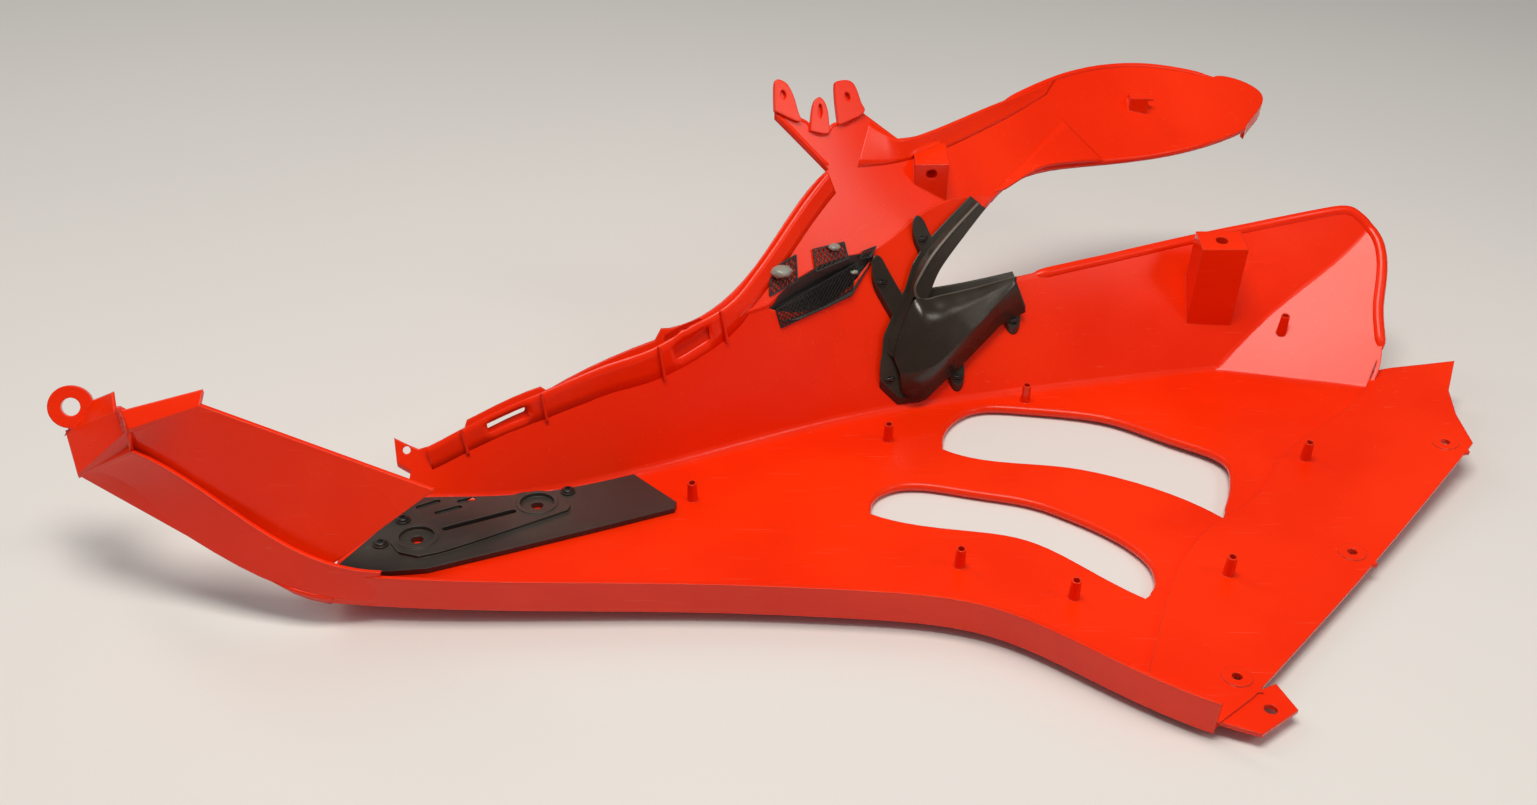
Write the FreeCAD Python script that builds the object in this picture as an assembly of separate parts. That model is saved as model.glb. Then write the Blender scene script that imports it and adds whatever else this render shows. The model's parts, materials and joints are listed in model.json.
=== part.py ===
import FreeCAD, Part
import os

V = FreeCAD.Vector
UP = V(0, 0, 1)

# Motorcycle upper fairing, right-hand half, lying on its painted outer side.
# Drawn in the mould's frame: X to the rear of the bike, Y up the bike, Z inwards along the moulded posts.

# Roll from the mould's frame to the way the fairing comes to rest on the rims of its gills, in degrees
REST_ROLL = 9.4

# Skin, the gap left under every piece that is fitted to it, and the run of every cutting prism and drill
WALL = 2.8
SEAT = 0.3
REACH = 420.0
DRILL = 21.0

# Soft creases where the floor, the shoulder and the gusset meet, and the room that fitted pieces leave them
INNER_CREASE = 8.0
OUTER_CREASE = 6.0
CREASE_ROOM = 5.0
STEEPEST_SKIN = 0.2

# Floor: the side panel below the crease, as three ribs (y, heights at the stations along X)
FLOOR_STATIONS = (-330.0, -100.0, 120.0, 340.0, 560.0)
FLOOR_LOWER_RIB = (-390.0, (83.0, 74.0, 70.0, 63.0, 62.0))
FLOOR_MIDDLE_RIB = (-180.0, (41.0, 33.0, 31.0, 32.0, 43.0))
FLOOR_UPPER_RIB = (60.0, (-4.0, -12.0, -9.0, -2.0, 36.0))

# Shoulder: the wall above the crease, as frames (x, crease point, belt point, brow point)
SHOULDER_FRAMES = (
    (-280.0, (-150.0, 36.0), (-126.0, 65.0), (-102.0, 94.0)),
    (-170.0, (-126.0, 26.0), (-89.0, 74.0), (-52.0, 122.0)),
    (-60.0, (-82.0, 15.0), (-55.0, 68.0), (-25.0, 124.0)),
    (50.0, (-28.0, 5.0), (-1.0, 58.0), (26.0, 110.0)),
    (160.0, (5.0, 1.5), (50.0, 62.0), (102.0, 117.0)),
    (270.0, (28.0, 1.0), (91.0, 70.0), (170.0, 128.0)),
    (380.0, (36.0, 5.0), (113.0, 82.0), (197.0, 140.0)),
    (490.0, (42.0, 12.0), (120.0, 95.0), (206.0, 152.0)),
)
SHOULDER_RUN_ON = 0.7

# Brow: the upper facet that runs out into the arm and its spoon, as frames (x, lower point, upper point)
BROW_FRAMES = (
    (-80.0, (-72.0, 74.0), (-14.0, 136.0)),
    (0.0, (-17.0, 90.0), (40.0, 150.0)),
    (80.0, (43.0, 107.0), (98.0, 160.0)),
    (160.0, (108.0, 119.0), (160.0, 156.0)),
    (240.0, (155.0, 112.0), (222.0, 152.0)),
    (320.0, (178.0, 106.0), (246.0, 142.0)),
    (400.0, (216.0, 106.0), (256.0, 128.0)),
)
BROW_RUN_ON = 0.9

# Rear gusset: the flat facet that closes the shoulder's rear end, through three points
GUSSET_POINTS = ((339.0, 33.0, 2.0), (439.0, 103.0, 80.0), (447.0, 14.0, 30.0))

# Outlines in the plan view, each shared by the pieces on both sides of it
FRONT_EDGE = ((-262.0, -240.0), (-264.0, -200.0), (-238.0, -138.0), (-232.0, -110.0))
HEADLIGHT_EDGE = (
    (-232.0, -110.0),
    (-213.0, -105.0),
    (-200.0, -100.0),
    (-198.0, -96.0),
    (-150.0, -81.0),
    (-146.0, -82.0),
    (-76.0, -48.0),
    (-72.0, -43.0),
    (-66.0, -41.0),
)
HEADLIGHT_TOP = ((-66.0, -41.0), (-33.0, -20.0), (-9.0, 5.0), (23.0, 48.0), (42.0, 69.0))
BROW_FOLD = (
    (-66.0, -41.0),
    (-30.0, -26.0),
    (0.0, -11.0),
    (37.0, 13.0),
    (72.0, 37.0),
    (101.0, 63.0),
    (165.0, 101.0),
)
NOTCH_EDGE = ((165.0, 101.0), (121.0, 51.0), (112.0, 36.0))
BELT_EDGE = ((112.0, 36.0), (179.0, 62.0), (248.0, 85.0), (330.0, 107.0), (422.0, 116.0))
REAR_CORNER = ((422.0, 116.0), (445.0, 111.0), (456.0, 94.0), (450.0, 50.0), (446.0, 13.0))
FLANGE_CORNER = (443.0, 13.5)
REAR_EAR = ((457.0, 15.0), (500.0, 14.0), (484.0, -20.0), (479.0, -48.0), (478.0, -81.0), (462.0, -99.0))
REAR_EDGE = ((462.0, -99.0), (354.0, -221.0), (265.0, -319.0), (238.0, -342.0))
LEADING_EDGE = (
    (238.0, -342.0),
    (183.0, -303.0),
    (128.0, -263.0),
    (54.0, -248.0),
    (-50.0, -243.0),
    (-156.0, -244.0),
    (-262.0, -240.0),
)
HORN_EDGE = (
    (42.0, 69.0),
    (4.0, 82.0),
    (4.0, 96.0),
    (15.0, 97.0),
    (22.0, 86.0),
    (29.0, 87.0),
    (34.0, 99.0),
    (41.0, 97.0),
    (41.0, 89.0),
    (50.0, 96.0),
    (47.0, 112.0),
    (60.0, 118.0),
    (66.0, 108.0),
    (93.0, 106.0),
)
ARM_TOP_EDGE = ((93.0, 106.0), (175.0, 170.0), (226.0, 213.0), (267.0, 235.0), (298.0, 244.0), (357.0, 246.0))
SPOON_END = ((357.0, 246.0), (386.0, 247.0), (397.0, 241.0), (390.0, 224.0), (378.0, 207.0))
SPOON_EDGE = ((378.0, 207.0), (305.0, 173.0), (254.0, 157.0), (204.0, 136.0), (165.0, 101.0))

# Return flanges: the upright lip along the leading edge, and the rims that turn outwards
LIP_HEIGHT = 21.0
RIM_DEPTH = 9.0
GUSSET_RIM_DEPTH = 12.0

# Rear flange, stepped inwards from the floor to lie behind the next panel
JOGGLE = 4.0
JOGGLE_LINE = (
    (430.0, -8.0),
    (416.0, -25.0),
    (350.0, -85.0),
    (322.0, -127.0),
    (289.0, -155.0),
    (231.0, -250.0),
    (205.0, -320.0),
)
FIXING_POINTS = ((461.0, -79.0), (362.0, -191.0), (260.0, -304.0))
FIXING_BORE = 6.0
FIXING_PAD = 17.0
FIXING_PAD_HEIGHT = 0.8
TAB_OUTLINE = ((264.0, -316.0), (281.0, -307.0), (287.0, -328.0), (262.0, -347.0), (232.0, -334.0))
TAB_DROP = 1.2
TAB_BORE_POINT = (272.0, -328.0)
TAB_BORE = 7.5

# Gills: the two air outlets in the floor, each between its upper and its lower edge
UPPER_GILL_TOP = (
    (121.0, -64.0),
    (128.0, -30.0),
    (150.0, -9.0),
    (189.0, -10.0),
    (245.0, -24.0),
    (285.0, -54.0),
    (313.0, -80.0),
    (311.0, -108.0),
    (294.0, -148.0),
)
UPPER_GILL_BOTTOM = ((294.0, -148.0), (238.0, -102.0), (204.0, -88.0), (142.0, -76.0), (121.0, -64.0))
LOWER_GILL_TOP = (
    (66.0, -142.0),
    (74.0, -115.0),
    (90.0, -107.0),
    (134.0, -115.0),
    (174.0, -127.0),
    (195.0, -141.0),
    (236.0, -188.0),
    (238.0, -210.0),
    (226.0, -230.0),
)
LOWER_GILL_BOTTOM = ((226.0, -230.0), (200.0, -205.0), (161.0, -170.0), (121.0, -160.0), (66.0, -142.0))
GILL_RETURN = 7.0

# Hollow posts, drafted, on the floor, on the rear flange and on the gusset
FLOOR_POSTS = (
    (-50.0, -126.0),
    (84.0, -52.0),
    (188.0, 0.0),
    (118.0, -198.0),
    (183.0, -229.0),
)
FLANGE_POSTS = ((280.0, -211.0), (364.0, -89.0))
GUSSET_POST = (383.0, 49.0)
POST_HEIGHT = 15.0
POST_TOP_DIAMETER = 6.0
POST_BASE_DIAMETER = 7.4
POST_BORE = 4.2
POST_BORE_DEPTH = 12.0
TILE_MARGIN = 3.0

# Clip slots along the headlight edge, and the ear at its front end
HEADLIGHT_SLOTS = (((-186.0, -98.0), (-162.0, -90.0)), ((-68.0, -46.0), (-46.0, -33.0)))
SLOT_WIDTH = 4.0
FRONT_EAR = ((-226.0, -110.0), (-245.0, -106.0), (-243.0, -117.0), (-226.0, -122.0))
FRONT_EAR_POINT = (-237.0, -110.5)
FRONT_EAR_BORE = 5.0

# Blocks (x, y, length, width): mirror stay block on the belt, hook box on the brow, clip on the spoon
STAY_BLOCK = (314.0, 58.0, 33.0, 24.0)
STAY_BLOCK_TOP = 95.0
STAY_BORE = 9.0
STAY_BORE_DEPTH = 25.0
HOOK_BOX = (105.0, 86.0, 24.0, 30.0)
HOOK_BOX_TOP = 149.0
HOOK_BORE = 8.0
HOOK_BORE_DEPTH = 10.0
CLIP_BLOCK = (282.0, 203.0, 14.0, 10.0)
CLIP_BLOCK_TOP = 138.0
CLIP_PIN = 3.0
CLIP_PIN_LENGTH = 5.0

# Nose arm: the V-shaped beam under the intake, between its chin, ridge, root and intake edges
CHIN_LINE = (
    (-408.0, -192.0, 105.0),
    (-340.0, -221.0, 83.0),
    (-280.0, -242.0, 61.0),
    (-232.0, -243.0, 51.0),
)
RIDGE_LINE = (
    (-364.0, -205.0, 135.0),
    (-326.0, -216.0, 115.0),
    (-268.0, -238.0, 85.0),
    (-225.0, -241.0, 73.0),
)
ROOT_FRONT = ((-408.0, -192.0, 105.0), (-340.0, -221.0, 83.0))
ROOT_REAR = ((-340.0, -221.0, 83.0), (-275.0, -242.0, 60.0))
TIP_FOLD = ((-362.0, -203.0, 150.0), (-322.0, -194.0, 160.0))
INTAKE_EDGE = ((-322.0, -194.0, 160.0), (-192.0, -216.0, 115.0))
TIP_EDGE = ((-369.0, -191.0, 154.0), (-322.0, -184.0, 164.0))
CAP_FRONT = ((-408.0, -192.0, 105.0), (-364.0, -205.0, 135.0))
CAP_BACK = ((-426.0, -158.0, 110.0), (-381.0, -175.0, 140.0))
WEB_TOP = ((-418.0, -142.0, 118.0), (-391.0, -152.0, 136.0))
ARM_BACK = (0.15, 0.95, -0.25)
NOSE_RING_CENTRE = (-421.0, -151.0, 123.0)
NOSE_RING_FACING = (0.25, -0.75, 0.60)
NOSE_RING_DIAMETER = 26.0
NOSE_RING_BORE = 11.0
NOSE_RING_THICKNESS = 5.0

# Wing mounting plate, screwed to the floor
PLATE = 4.0
PLATE_OUTLINE = (
    (-262.0, -214.0),
    (-250.0, -219.0),
    (-207.0, -212.0),
    (-61.0, -142.0),
    (-60.0, -135.0),
    (-95.0, -97.0),
    (-110.0, -92.0),
    (-178.0, -122.0),
    (-228.0, -134.0),
)
PLATE_ISLAND = (
    (-234.0, -176.0),
    (-234.0, -188.0),
    (-227.0, -198.0),
    (-214.0, -202.0),
    (-202.0, -197.0),
    (-186.0, -187.0),
    (-129.0, -148.0),
    (-128.0, -143.0),
    (-141.0, -131.0),
    (-160.0, -128.0),
    (-193.0, -147.0),
    (-215.0, -161.0),
    (-225.0, -168.0),
)
ISLAND_HEIGHT = 2.0
PLATE_PADS = ((-219.0, -183.0), (-150.0, -142.0))
PAD_DIAMETER = 27.0
PAD_HEIGHT = 2.8
DISH_DIAMETER = 22.0
PAD_BORE = 8.0
ISLAND_SLOT = ((-203.0, -172.0), (-164.0, -151.0))
PLATE_SLOTS = (
    ((-212.0, -152.0), (-200.0, -145.0)),
    ((-225.0, -146.0), (-215.0, -139.0)),
    ((-200.0, -138.0), (-193.0, -135.0)),
    ((-190.0, -129.0), (-184.0, -127.0)),
)
PLATE_SLOT_WIDTH = 4.5
PLATE_SLOT_DEPTH = 2.2
PLATE_SCREW_POINTS = ((-240.0, -188.0), (-132.0, -124.0), (-232.0, -161.0))

# Notch trim, screwed to the shoulder, with a rim that stands up round the notch
TRIM = 3.5
TRIM_NOTCH = ((155.0, 90.0), (121.0, 51.0), (112.0, 36.0), (179.0, 62.0))
TRIM_OUTLINE = TRIM_NOTCH + (
    (189.0, 47.0),
    (169.0, 37.0),
    (142.0, 15.0),
    (128.0, 5.0),
    (110.0, -8.0),
    (94.0, -11.0),
    (80.0, -8.0),
    (82.0, 8.0),
    (90.0, 20.0),
    (98.0, 32.0),
    (103.0, 43.0),
    (113.0, 56.0),
    (147.0, 91.0),
)
TRIM_RIM = 9.0
TRIM_RIM_WIDTH = 3.0
TRIM_SCREW_POINTS = ((109.0, 59.0), (79.0, 30.0), (86.0, -3.0), (137.0, 9.0), (179.0, 41.0))
TRIM_LUG_ROOTS = ((116.0, 53.0), (95.0, 22.0), (92.0, 2.0), (131.0, 16.0), (173.0, 48.0))
TRIM_LUG_WIDTH = 12.0

# Intake mesh: two leaves of expanded metal, folded along the brow fold behind a lens-shaped slot
LENS_TOP = ((0.0, -11.0), (34.0, 18.0), (75.0, 39.0))
LENS_BOTTOM = ((75.0, 39.0), (42.0, 8.0), (0.0, -11.0))
MESH = 1.2
MESH_FOLD = BROW_FOLD[2:5]
MESH_LOWER_LEAF = ((58.0, 16.0), (33.0, 1.0), (9.0, -14.0))
MESH_FRONT_TAB = ((20.0, 18.0), (9.0, 12.0), (0.0, 4.0))
MESH_REAR_TAB = ((53.0, 36.0), (30.0, 23.0))
MESH_FRONT_ROOT = ((1.0, -12.5), (21.0, 0.5))
MESH_REAR_ROOT = ((33.0, 7.5), (59.0, 25.0))
MESH_GAPS_FROM = 8.0
MESH_PITCH = 7.0
MESH_GAP_LENGTH = 5.6
MESH_GAP_WIDTH = 3.0
MESH_GAP_ROWS = ((-2.5, 0.0, 8), (-7.5, 0.5, 7))

# Pan-head screws
SCREW_HEAD = 8.0
SCREW_HEAD_HEIGHT = 2.4
SCREW_SHANK = 3.5
SCREW_HOLE = 4.0


def spline(points):
    """A smooth edge through the points."""
    curve = Part.BSplineCurve()
    curve.interpolate([V(*p) for p in points])
    return curve.toShape()


def polyline(points):
    """Straight edges from point to point."""
    return [Part.LineSegment(V(*a), V(*b)).toShape() for a, b in zip(points, points[1:])]


def flat(points):
    """Plan points as points of the ground plane."""
    return [(x, y, 0.0) for x, y in points]


def prism(edges):
    """A tall upright prism over a closed plan outline."""
    wire = Part.Wire(Part.__sortEdges__(edges))
    face = Part.Face(wire)
    face.translate(V(0, 0, -REACH / 2))
    return face.extrude(UP * REACH)


def polygon(points):
    """A tall upright prism over a straight-sided plan outline."""
    return prism(polyline(flat(points + points[:1])))


def parallel(points, width):
    """Plan points moved to the left of their direction of travel by the width."""
    moved = []
    for i, (x, y) in enumerate(points):
        before = points[max(i - 1, 0)]
        after = points[min(i + 1, len(points) - 1)]
        along = V(after[0] - before[0], after[1] - before[1], 0).normalize()
        moved.append((x - along.y * width, y + along.x * width))
    return tuple(moved)


def band(points, width):
    """A tall upright strip between a plan curve and its parallel."""
    inner = parallel(points, width)
    ends = polyline(flat((points[0], inner[0]))) + polyline(flat((points[-1], inner[-1])))
    return prism([spline(flat(points)), spline(flat(inner))] + ends)


def strip(points, width):
    """A tall upright strip between a straight-sided plan path and its parallel."""
    return polygon(points + parallel(points, width)[::-1])


def frame_wire(x, points, run_on):
    """A section at one station, run on past both ends by a share of its first and last leg."""
    (y0, z0), (y1, z1) = points[0], points[1]
    (y2, z2), (y3, z3) = points[-2], points[-1]
    start = (y0 - run_on * (y1 - y0), z0 - run_on * (z1 - z0))
    end = (y3 + run_on * (y3 - y2), z3 + run_on * (z3 - z2))
    return Part.Wire(spline([(x, y, z) for y, z in [start] + list(points) + [end]]))


def floor_face():
    """The floor's inner face, lofted through its ribs."""
    ribs = (FLOOR_LOWER_RIB, FLOOR_MIDDLE_RIB, FLOOR_UPPER_RIB)
    wires = [Part.Wire(spline([(x, y, z) for x, z in zip(FLOOR_STATIONS, heights)])) for y, heights in ribs]
    return Part.makeLoft(wires, False, False).Faces[0]


def framed_face(frames, run_on):
    """An inner face lofted through frames."""
    wires = [frame_wire(f[0], f[1:], run_on) for f in frames]
    return Part.makeLoft(wires, False, False).Faces[0]


def gusset_face():
    """The gusset's inner face, wide enough to be trimmed."""
    a, b, c = [V(*p) for p in GUSSET_POINTS]
    normal = (b - a).cross(c - a).normalize()
    return Part.Plane(a, normal).toShape(-REACH, REACH, -REACH, REACH)


def inward(face):
    """The face's mean normal, towards the inside of the fairing."""
    u0, u1, v0, v1 = face.ParameterRange
    normal = face.normalAt((u0 + u1) / 2, (v0 + v1) / 2)
    return normal if normal.z > 0 else -normal


def slab(face, low, high):
    """The space between two copies of a skin face, moved inwards by low and by high."""
    moved = face.translated(inward(face) * low)
    return moved.extrude(inward(face) * (high - low))


def below(face, gap):
    """Everything below a skin face moved inwards by the gap."""
    return face.translated(inward(face) * gap).extrude(-UP * REACH)


def drop(face, x, y):
    """The point of a skin face over a plan point, and the inward normal there."""
    plumb = Part.LineSegment(V(x, y, -REACH), V(x, y, REACH)).toShape()
    point = plumb.section(face).Vertexes[0].Point
    normal = face.normalAt(*face.Surface.parameter(point))
    return point, normal if normal.z > 0 else -normal


def boss(face, x, y, diameter, low, high):
    """A cylinder square to a skin face, between two heights above it."""
    point, axis = drop(face, x, y)
    return Part.makeCylinder(diameter / 2, high - low, point + axis * low, axis)


def bore(face, x, y, diameter):
    """A cutting cylinder square to a skin face, right through everything near it."""
    return boss(face, x, y, diameter, -DRILL, DRILL)


def sheet(edge, other, thickness):
    """A wall ruled between two space curves, thickened by a vector."""
    face = Part.makeRuledSurface(spline(edge), spline(other)).Faces[0]
    return face.extrude(thickness)


def slot(start, end, width):
    """A tall upright prism over a slot with round ends."""
    a, b = V(*start, 0), V(*end, 0)
    along = (b - a).normalize()
    side = UP.cross(along) * (width / 2)
    tip = along * (width / 2)
    sides = polyline([a + side, b + side]) + polyline([a - side, b - side])
    ends = [Part.Arc(a + side, a - tip, a - side).toShape(), Part.Arc(b + side, b + tip, b - side).toShape()]
    return prism(sides + ends)


def block(plan, top, face):
    """A level-topped block that stands on a skin face, from a plan box (x, y, length, width)."""
    x, y, length, width = plan
    return Part.makeBox(length, width, top, V(x, y, 0)).cut(below(face, -WALL / 2))


floor = floor_face()
shoulder = framed_face(SHOULDER_FRAMES, SHOULDER_RUN_ON)
brow = framed_face(BROW_FRAMES, BROW_RUN_ON)
gusset = gusset_face()


def panel_outline():
    """The plan of the floor, shoulder and gusset together."""
    edges = [spline(flat(c)) for c in (BROW_FOLD, BELT_EDGE, REAR_CORNER, LEADING_EDGE)]
    rear = (REAR_CORNER[-1], REAR_EAR[0])
    for path in (FRONT_EDGE, HEADLIGHT_EDGE, NOTCH_EDGE, rear, REAR_EAR, REAR_EDGE):
        edges += polyline(flat(path))
    return prism(edges)


def brow_outline():
    """The plan of the brow, its horn and the arm."""
    edges = [spline(flat(c)) for c in (HEADLIGHT_TOP, ARM_TOP_EDGE, SPOON_END, SPOON_EDGE, BROW_FOLD)]
    return prism(edges + polyline(flat(HORN_EDGE)))


def rear_outline():
    """The plan of the stepped rear flange."""
    edges = [spline(flat(JOGGLE_LINE))]
    edges += polyline(flat((JOGGLE_LINE[0], FLANGE_CORNER, REAR_EAR[0])))
    edges += polyline(flat((REAR_EDGE[-1], JOGGLE_LINE[-1])))
    for path in (REAR_EAR, REAR_EDGE):
        edges += polyline(flat(path))
    return prism(edges)


def gill_openings():
    """The two openings as prisms."""
    pairs = ((UPPER_GILL_TOP, UPPER_GILL_BOTTOM), (LOWER_GILL_TOP, LOWER_GILL_BOTTOM))
    return [prism([spline(flat(top)), spline(flat(bottom))]) for top, bottom in pairs]


def lens():
    """The slot that the mesh closes."""
    return prism([spline(flat(LENS_TOP)), spline(flat(LENS_BOTTOM))])


def creases(body):
    """The edges along which the skin faces of a body meet."""
    found = []
    for edge in body.Edges:
        middle = edge.valueAt((edge.FirstParameter + edge.LastParameter) / 2)
        sides = [face for face in body.Faces if any(edge.isSame(e) for e in face.Edges)]
        slopes = [abs(face.normalAt(*face.Surface.parameter(middle)).z) for face in sides]
        if len(sides) == 2 and min(slopes) > STEEPEST_SKIN and middle.z > -REACH / 4:
            found.append(edge)
    return found


def filled(gap, radius):
    """Everything below the floor, the shoulder and the gusset moved inwards by the gap, with soft creases."""
    body = below(floor, gap).fuse([below(face, gap) for face in (shoulder, gusset)])
    return body.makeFillet(radius, creases(body))


def skin():
    """Floor, shoulder and gusset as one skin, softly creased where they meet, with the brow on its fold."""
    wall = filled(0, INNER_CREASE).cut(filled(-WALL, OUTER_CREASE))
    panel = wall.common(panel_outline()).cut([rear_outline()] + gill_openings())
    return panel.fuse(slab(brow, -WALL, 0).common(brow_outline()))


def rear_flange():
    """The stepped flange and its riser."""
    flange = slab(floor, JOGGLE - WALL, JOGGLE).common(rear_outline())
    riser = band(JOGGLE_LINE, WALL).common(slab(floor, -WALL, JOGGLE))
    return [flange, riser]


def ears():
    """The corner tab of the rear flange and the ear beside the headlight edge, with their holes."""
    tab = slab(floor, JOGGLE - TAB_DROP - WALL, JOGGLE - TAB_DROP).common(polygon(TAB_OUTLINE))
    ear = slab(shoulder, -WALL, 0).common(polygon(FRONT_EAR))
    tab_bore = bore(floor, *TAB_BORE_POINT, TAB_BORE)
    ear_bore = bore(shoulder, *FRONT_EAR_POINT, FRONT_EAR_BORE)
    return [tab.cut(tab_bore), ear.cut(ear_bore)]


def rims():
    """The upright lip and the rims that turn outwards along the belt, the gusset, the spoon and the gills."""
    lip = band(LEADING_EDGE, -WALL).common(slab(floor, -WALL, LIP_HEIGHT))
    belt = band(BELT_EDGE, -WALL).common(slab(shoulder, -RIM_DEPTH, 0))
    rear = band(REAR_CORNER + JOGGLE_LINE[:1], -WALL).common(slab(gusset, -GUSSET_RIM_DEPTH, 0))
    spoon = band(SPOON_END, -WALL).common(slab(brow, -RIM_DEPTH, 0))
    depth = slab(floor, -GILL_RETURN, 0)
    gills = [band(top, WALL).common(depth) for top in (UPPER_GILL_TOP, LOWER_GILL_TOP)]
    return [lip, belt, rear, spoon] + gills


def post(face, x, y, level):
    """A hollow drafted post along the mould's draw, on a skin face moved inwards by the level."""
    point, normal = drop(face, x, y)
    seat = point + normal * level
    root = WALL / 2
    cone = Part.makeCone(POST_BASE_DIAMETER / 2, POST_TOP_DIAMETER / 2, POST_HEIGHT + root, seat - UP * root)
    core_foot = seat + UP * (POST_HEIGHT - POST_BORE_DEPTH)
    return cone.cut(Part.makeCylinder(POST_BORE / 2, POST_BORE_DEPTH, core_foot))


def tile(face, x, y, size, level, added, removed):
    """A square window over a plan point, and the piece of detailed skin at that level that fills it."""
    half = size / 2 + TILE_MARGIN
    window = polygon(((x - half, y - half), (x + half, y - half), (x + half, y + half), (x - half, y + half)))
    patch = slab(face, level - WALL, level).common(window)
    if added:
        patch = patch.fuse(added)
    if removed:
        patch = patch.cut(removed)
    return window, patch


def detailed(shell):
    """The shell with its posts, screw pads and screw holes."""
    seats = [(floor, x, y, 0) for x, y in FLOOR_POSTS] + [(floor, x, y, JOGGLE) for x, y in FLANGE_POSTS]
    seats.append((gusset, *GUSSET_POST, 0))
    tiles = []
    for face, x, y, level in seats:
        tiles.append(tile(face, x, y, POST_BASE_DIAMETER, level, [post(face, x, y, level)], []))
    for face, points in ((floor, PLATE_SCREW_POINTS), (shoulder, TRIM_SCREW_POINTS)):
        tiles += [tile(face, x, y, SCREW_HOLE, 0, [], [bore(face, x, y, SCREW_HOLE)]) for x, y in points]
    for x, y in FIXING_POINTS:
        pad = boss(floor, x, y, FIXING_PAD, JOGGLE - WALL / 2, JOGGLE + FIXING_PAD_HEIGHT)
        tiles.append(tile(floor, x, y, FIXING_PAD, JOGGLE, [pad], [bore(floor, x, y, FIXING_BORE)]))
    return shell.cut([window for window, patch in tiles]).fuse([patch for window, patch in tiles])


def blocks():
    """The stay block, hook box and clip block, with their bores and pin."""
    x, y, length, width = STAY_BLOCK
    stay_foot = V(x + length / 2, y + width / 2, STAY_BLOCK_TOP - STAY_BORE_DEPTH)
    stay_bore = Part.makeCylinder(STAY_BORE / 2, STAY_BORE_DEPTH, stay_foot)
    x, y, length, width = HOOK_BOX
    hook_foot = V(x + length / 2, y, HOOK_BOX_TOP - HOOK_BORE)
    hook_bore = Part.makeCylinder(HOOK_BORE / 2, HOOK_BORE_DEPTH, hook_foot, V(0, 1, 0))
    x, y, length, width = CLIP_BLOCK
    pin_foot = V(x + length / 2, y + width / 2, CLIP_BLOCK_TOP - CLIP_PIN)
    pin = Part.makeCylinder(CLIP_PIN / 2, length / 2 + CLIP_PIN_LENGTH, pin_foot, V(1, 0, 0))
    stay = block(STAY_BLOCK, STAY_BLOCK_TOP, shoulder).cut(stay_bore)
    hook = block(HOOK_BOX, HOOK_BOX_TOP, brow).cut(hook_bore)
    clip = block(CLIP_BLOCK, CLIP_BLOCK_TOP, brow).fuse(pin)
    return [stay, hook, clip]


def nose_arm():
    """The chin, the wall under the intake, the tip's flange, cap and web, and the ring at its end."""
    back = V(*ARM_BACK) * WALL
    walls = ((CHIN_LINE, RIDGE_LINE), (ROOT_FRONT, TIP_FOLD), (ROOT_REAR, INTAKE_EDGE))
    tops = ((TIP_FOLD, TIP_EDGE), (CAP_FRONT, CAP_BACK))
    sheets = [sheet(a, b, back) for a, b in walls] + [sheet(a, b, -UP * WALL) for a, b in tops]
    web_root = [V(*p) - UP * WALL for p in CAP_BACK]
    sheets.append(sheet(web_root, WEB_TOP, -back))
    facing = V(*NOSE_RING_FACING).normalize()
    centre = V(*NOSE_RING_CENTRE)
    foot = centre - facing * (NOSE_RING_THICKNESS / 2)
    ring = Part.makeCylinder(NOSE_RING_DIAMETER / 2, NOSE_RING_THICKNESS, foot, facing)
    room = Part.makeCylinder(NOSE_RING_DIAMETER / 2 - WALL, 2 * DRILL, centre - facing * DRILL, facing)
    hole = Part.makeCylinder(NOSE_RING_BORE / 2, 2 * DRILL, centre - facing * DRILL, facing)
    arm = sheets[0].fuse(sheets[1:]).cut(room)
    return arm.fuse(ring).cut(hole)


def fairing_shell():
    """The whole moulded shell."""
    shell = skin()
    for piece in rear_flange() + rims() + ears() + blocks() + [nose_arm()]:
        shell = shell.fuse(piece)
    return detailed(shell.cut([lens()] + [slot(a, b, SLOT_WIDTH) for a, b in HEADLIGHT_SLOTS]))


def wing_mount_plate():
    """The plate on the floor, with its raised island, dished pads, slots and screw holes."""
    top = SEAT + PLATE
    island_top = top + ISLAND_HEIGHT
    plate = slab(floor, SEAT, top).common(polygon(PLATE_OUTLINE)).cut(below(shoulder, CREASE_ROOM))
    island = slab(floor, top - PLATE / 2, island_top).common(polygon(PLATE_ISLAND))
    pads = [boss(floor, x, y, PAD_DIAMETER, top - PLATE / 2, top + PAD_HEIGHT) for x, y in PLATE_PADS]
    cuts = [boss(floor, x, y, DISH_DIAMETER, top, top + DRILL) for x, y in PLATE_PADS]
    cuts += [bore(floor, x, y, PAD_BORE) for x, y in PLATE_PADS]
    cuts += [bore(floor, x, y, SCREW_HOLE) for x, y in PLATE_SCREW_POINTS]
    deep = slab(floor, top - PLATE_SLOT_DEPTH, top + DRILL)
    cuts += [slot(a, b, PLATE_SLOT_WIDTH).common(deep) for a, b in PLATE_SLOTS + (ISLAND_SLOT,)]
    return plate.fuse([island] + pads).cut(cuts)


def notch_trim():
    """The trim on the shoulder with its rim and its screw lugs."""
    layer = slab(shoulder, SEAT, SEAT + TRIM)
    plate = layer.common(polygon(TRIM_OUTLINE))
    for lug, root in zip(TRIM_SCREW_POINTS, TRIM_LUG_ROOTS):
        plate = plate.fuse(layer.common(slot(lug, root, TRIM_LUG_WIDTH)))
    rim = strip(TRIM_NOTCH, -TRIM_RIM_WIDTH).common(slab(shoulder, SEAT, SEAT + TRIM_RIM))
    holes = [bore(shoulder, x, y, SCREW_HOLE) for x, y in TRIM_SCREW_POINTS]
    return plate.fuse(rim).cut([below(floor, CREASE_ROOM)] + holes)


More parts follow.
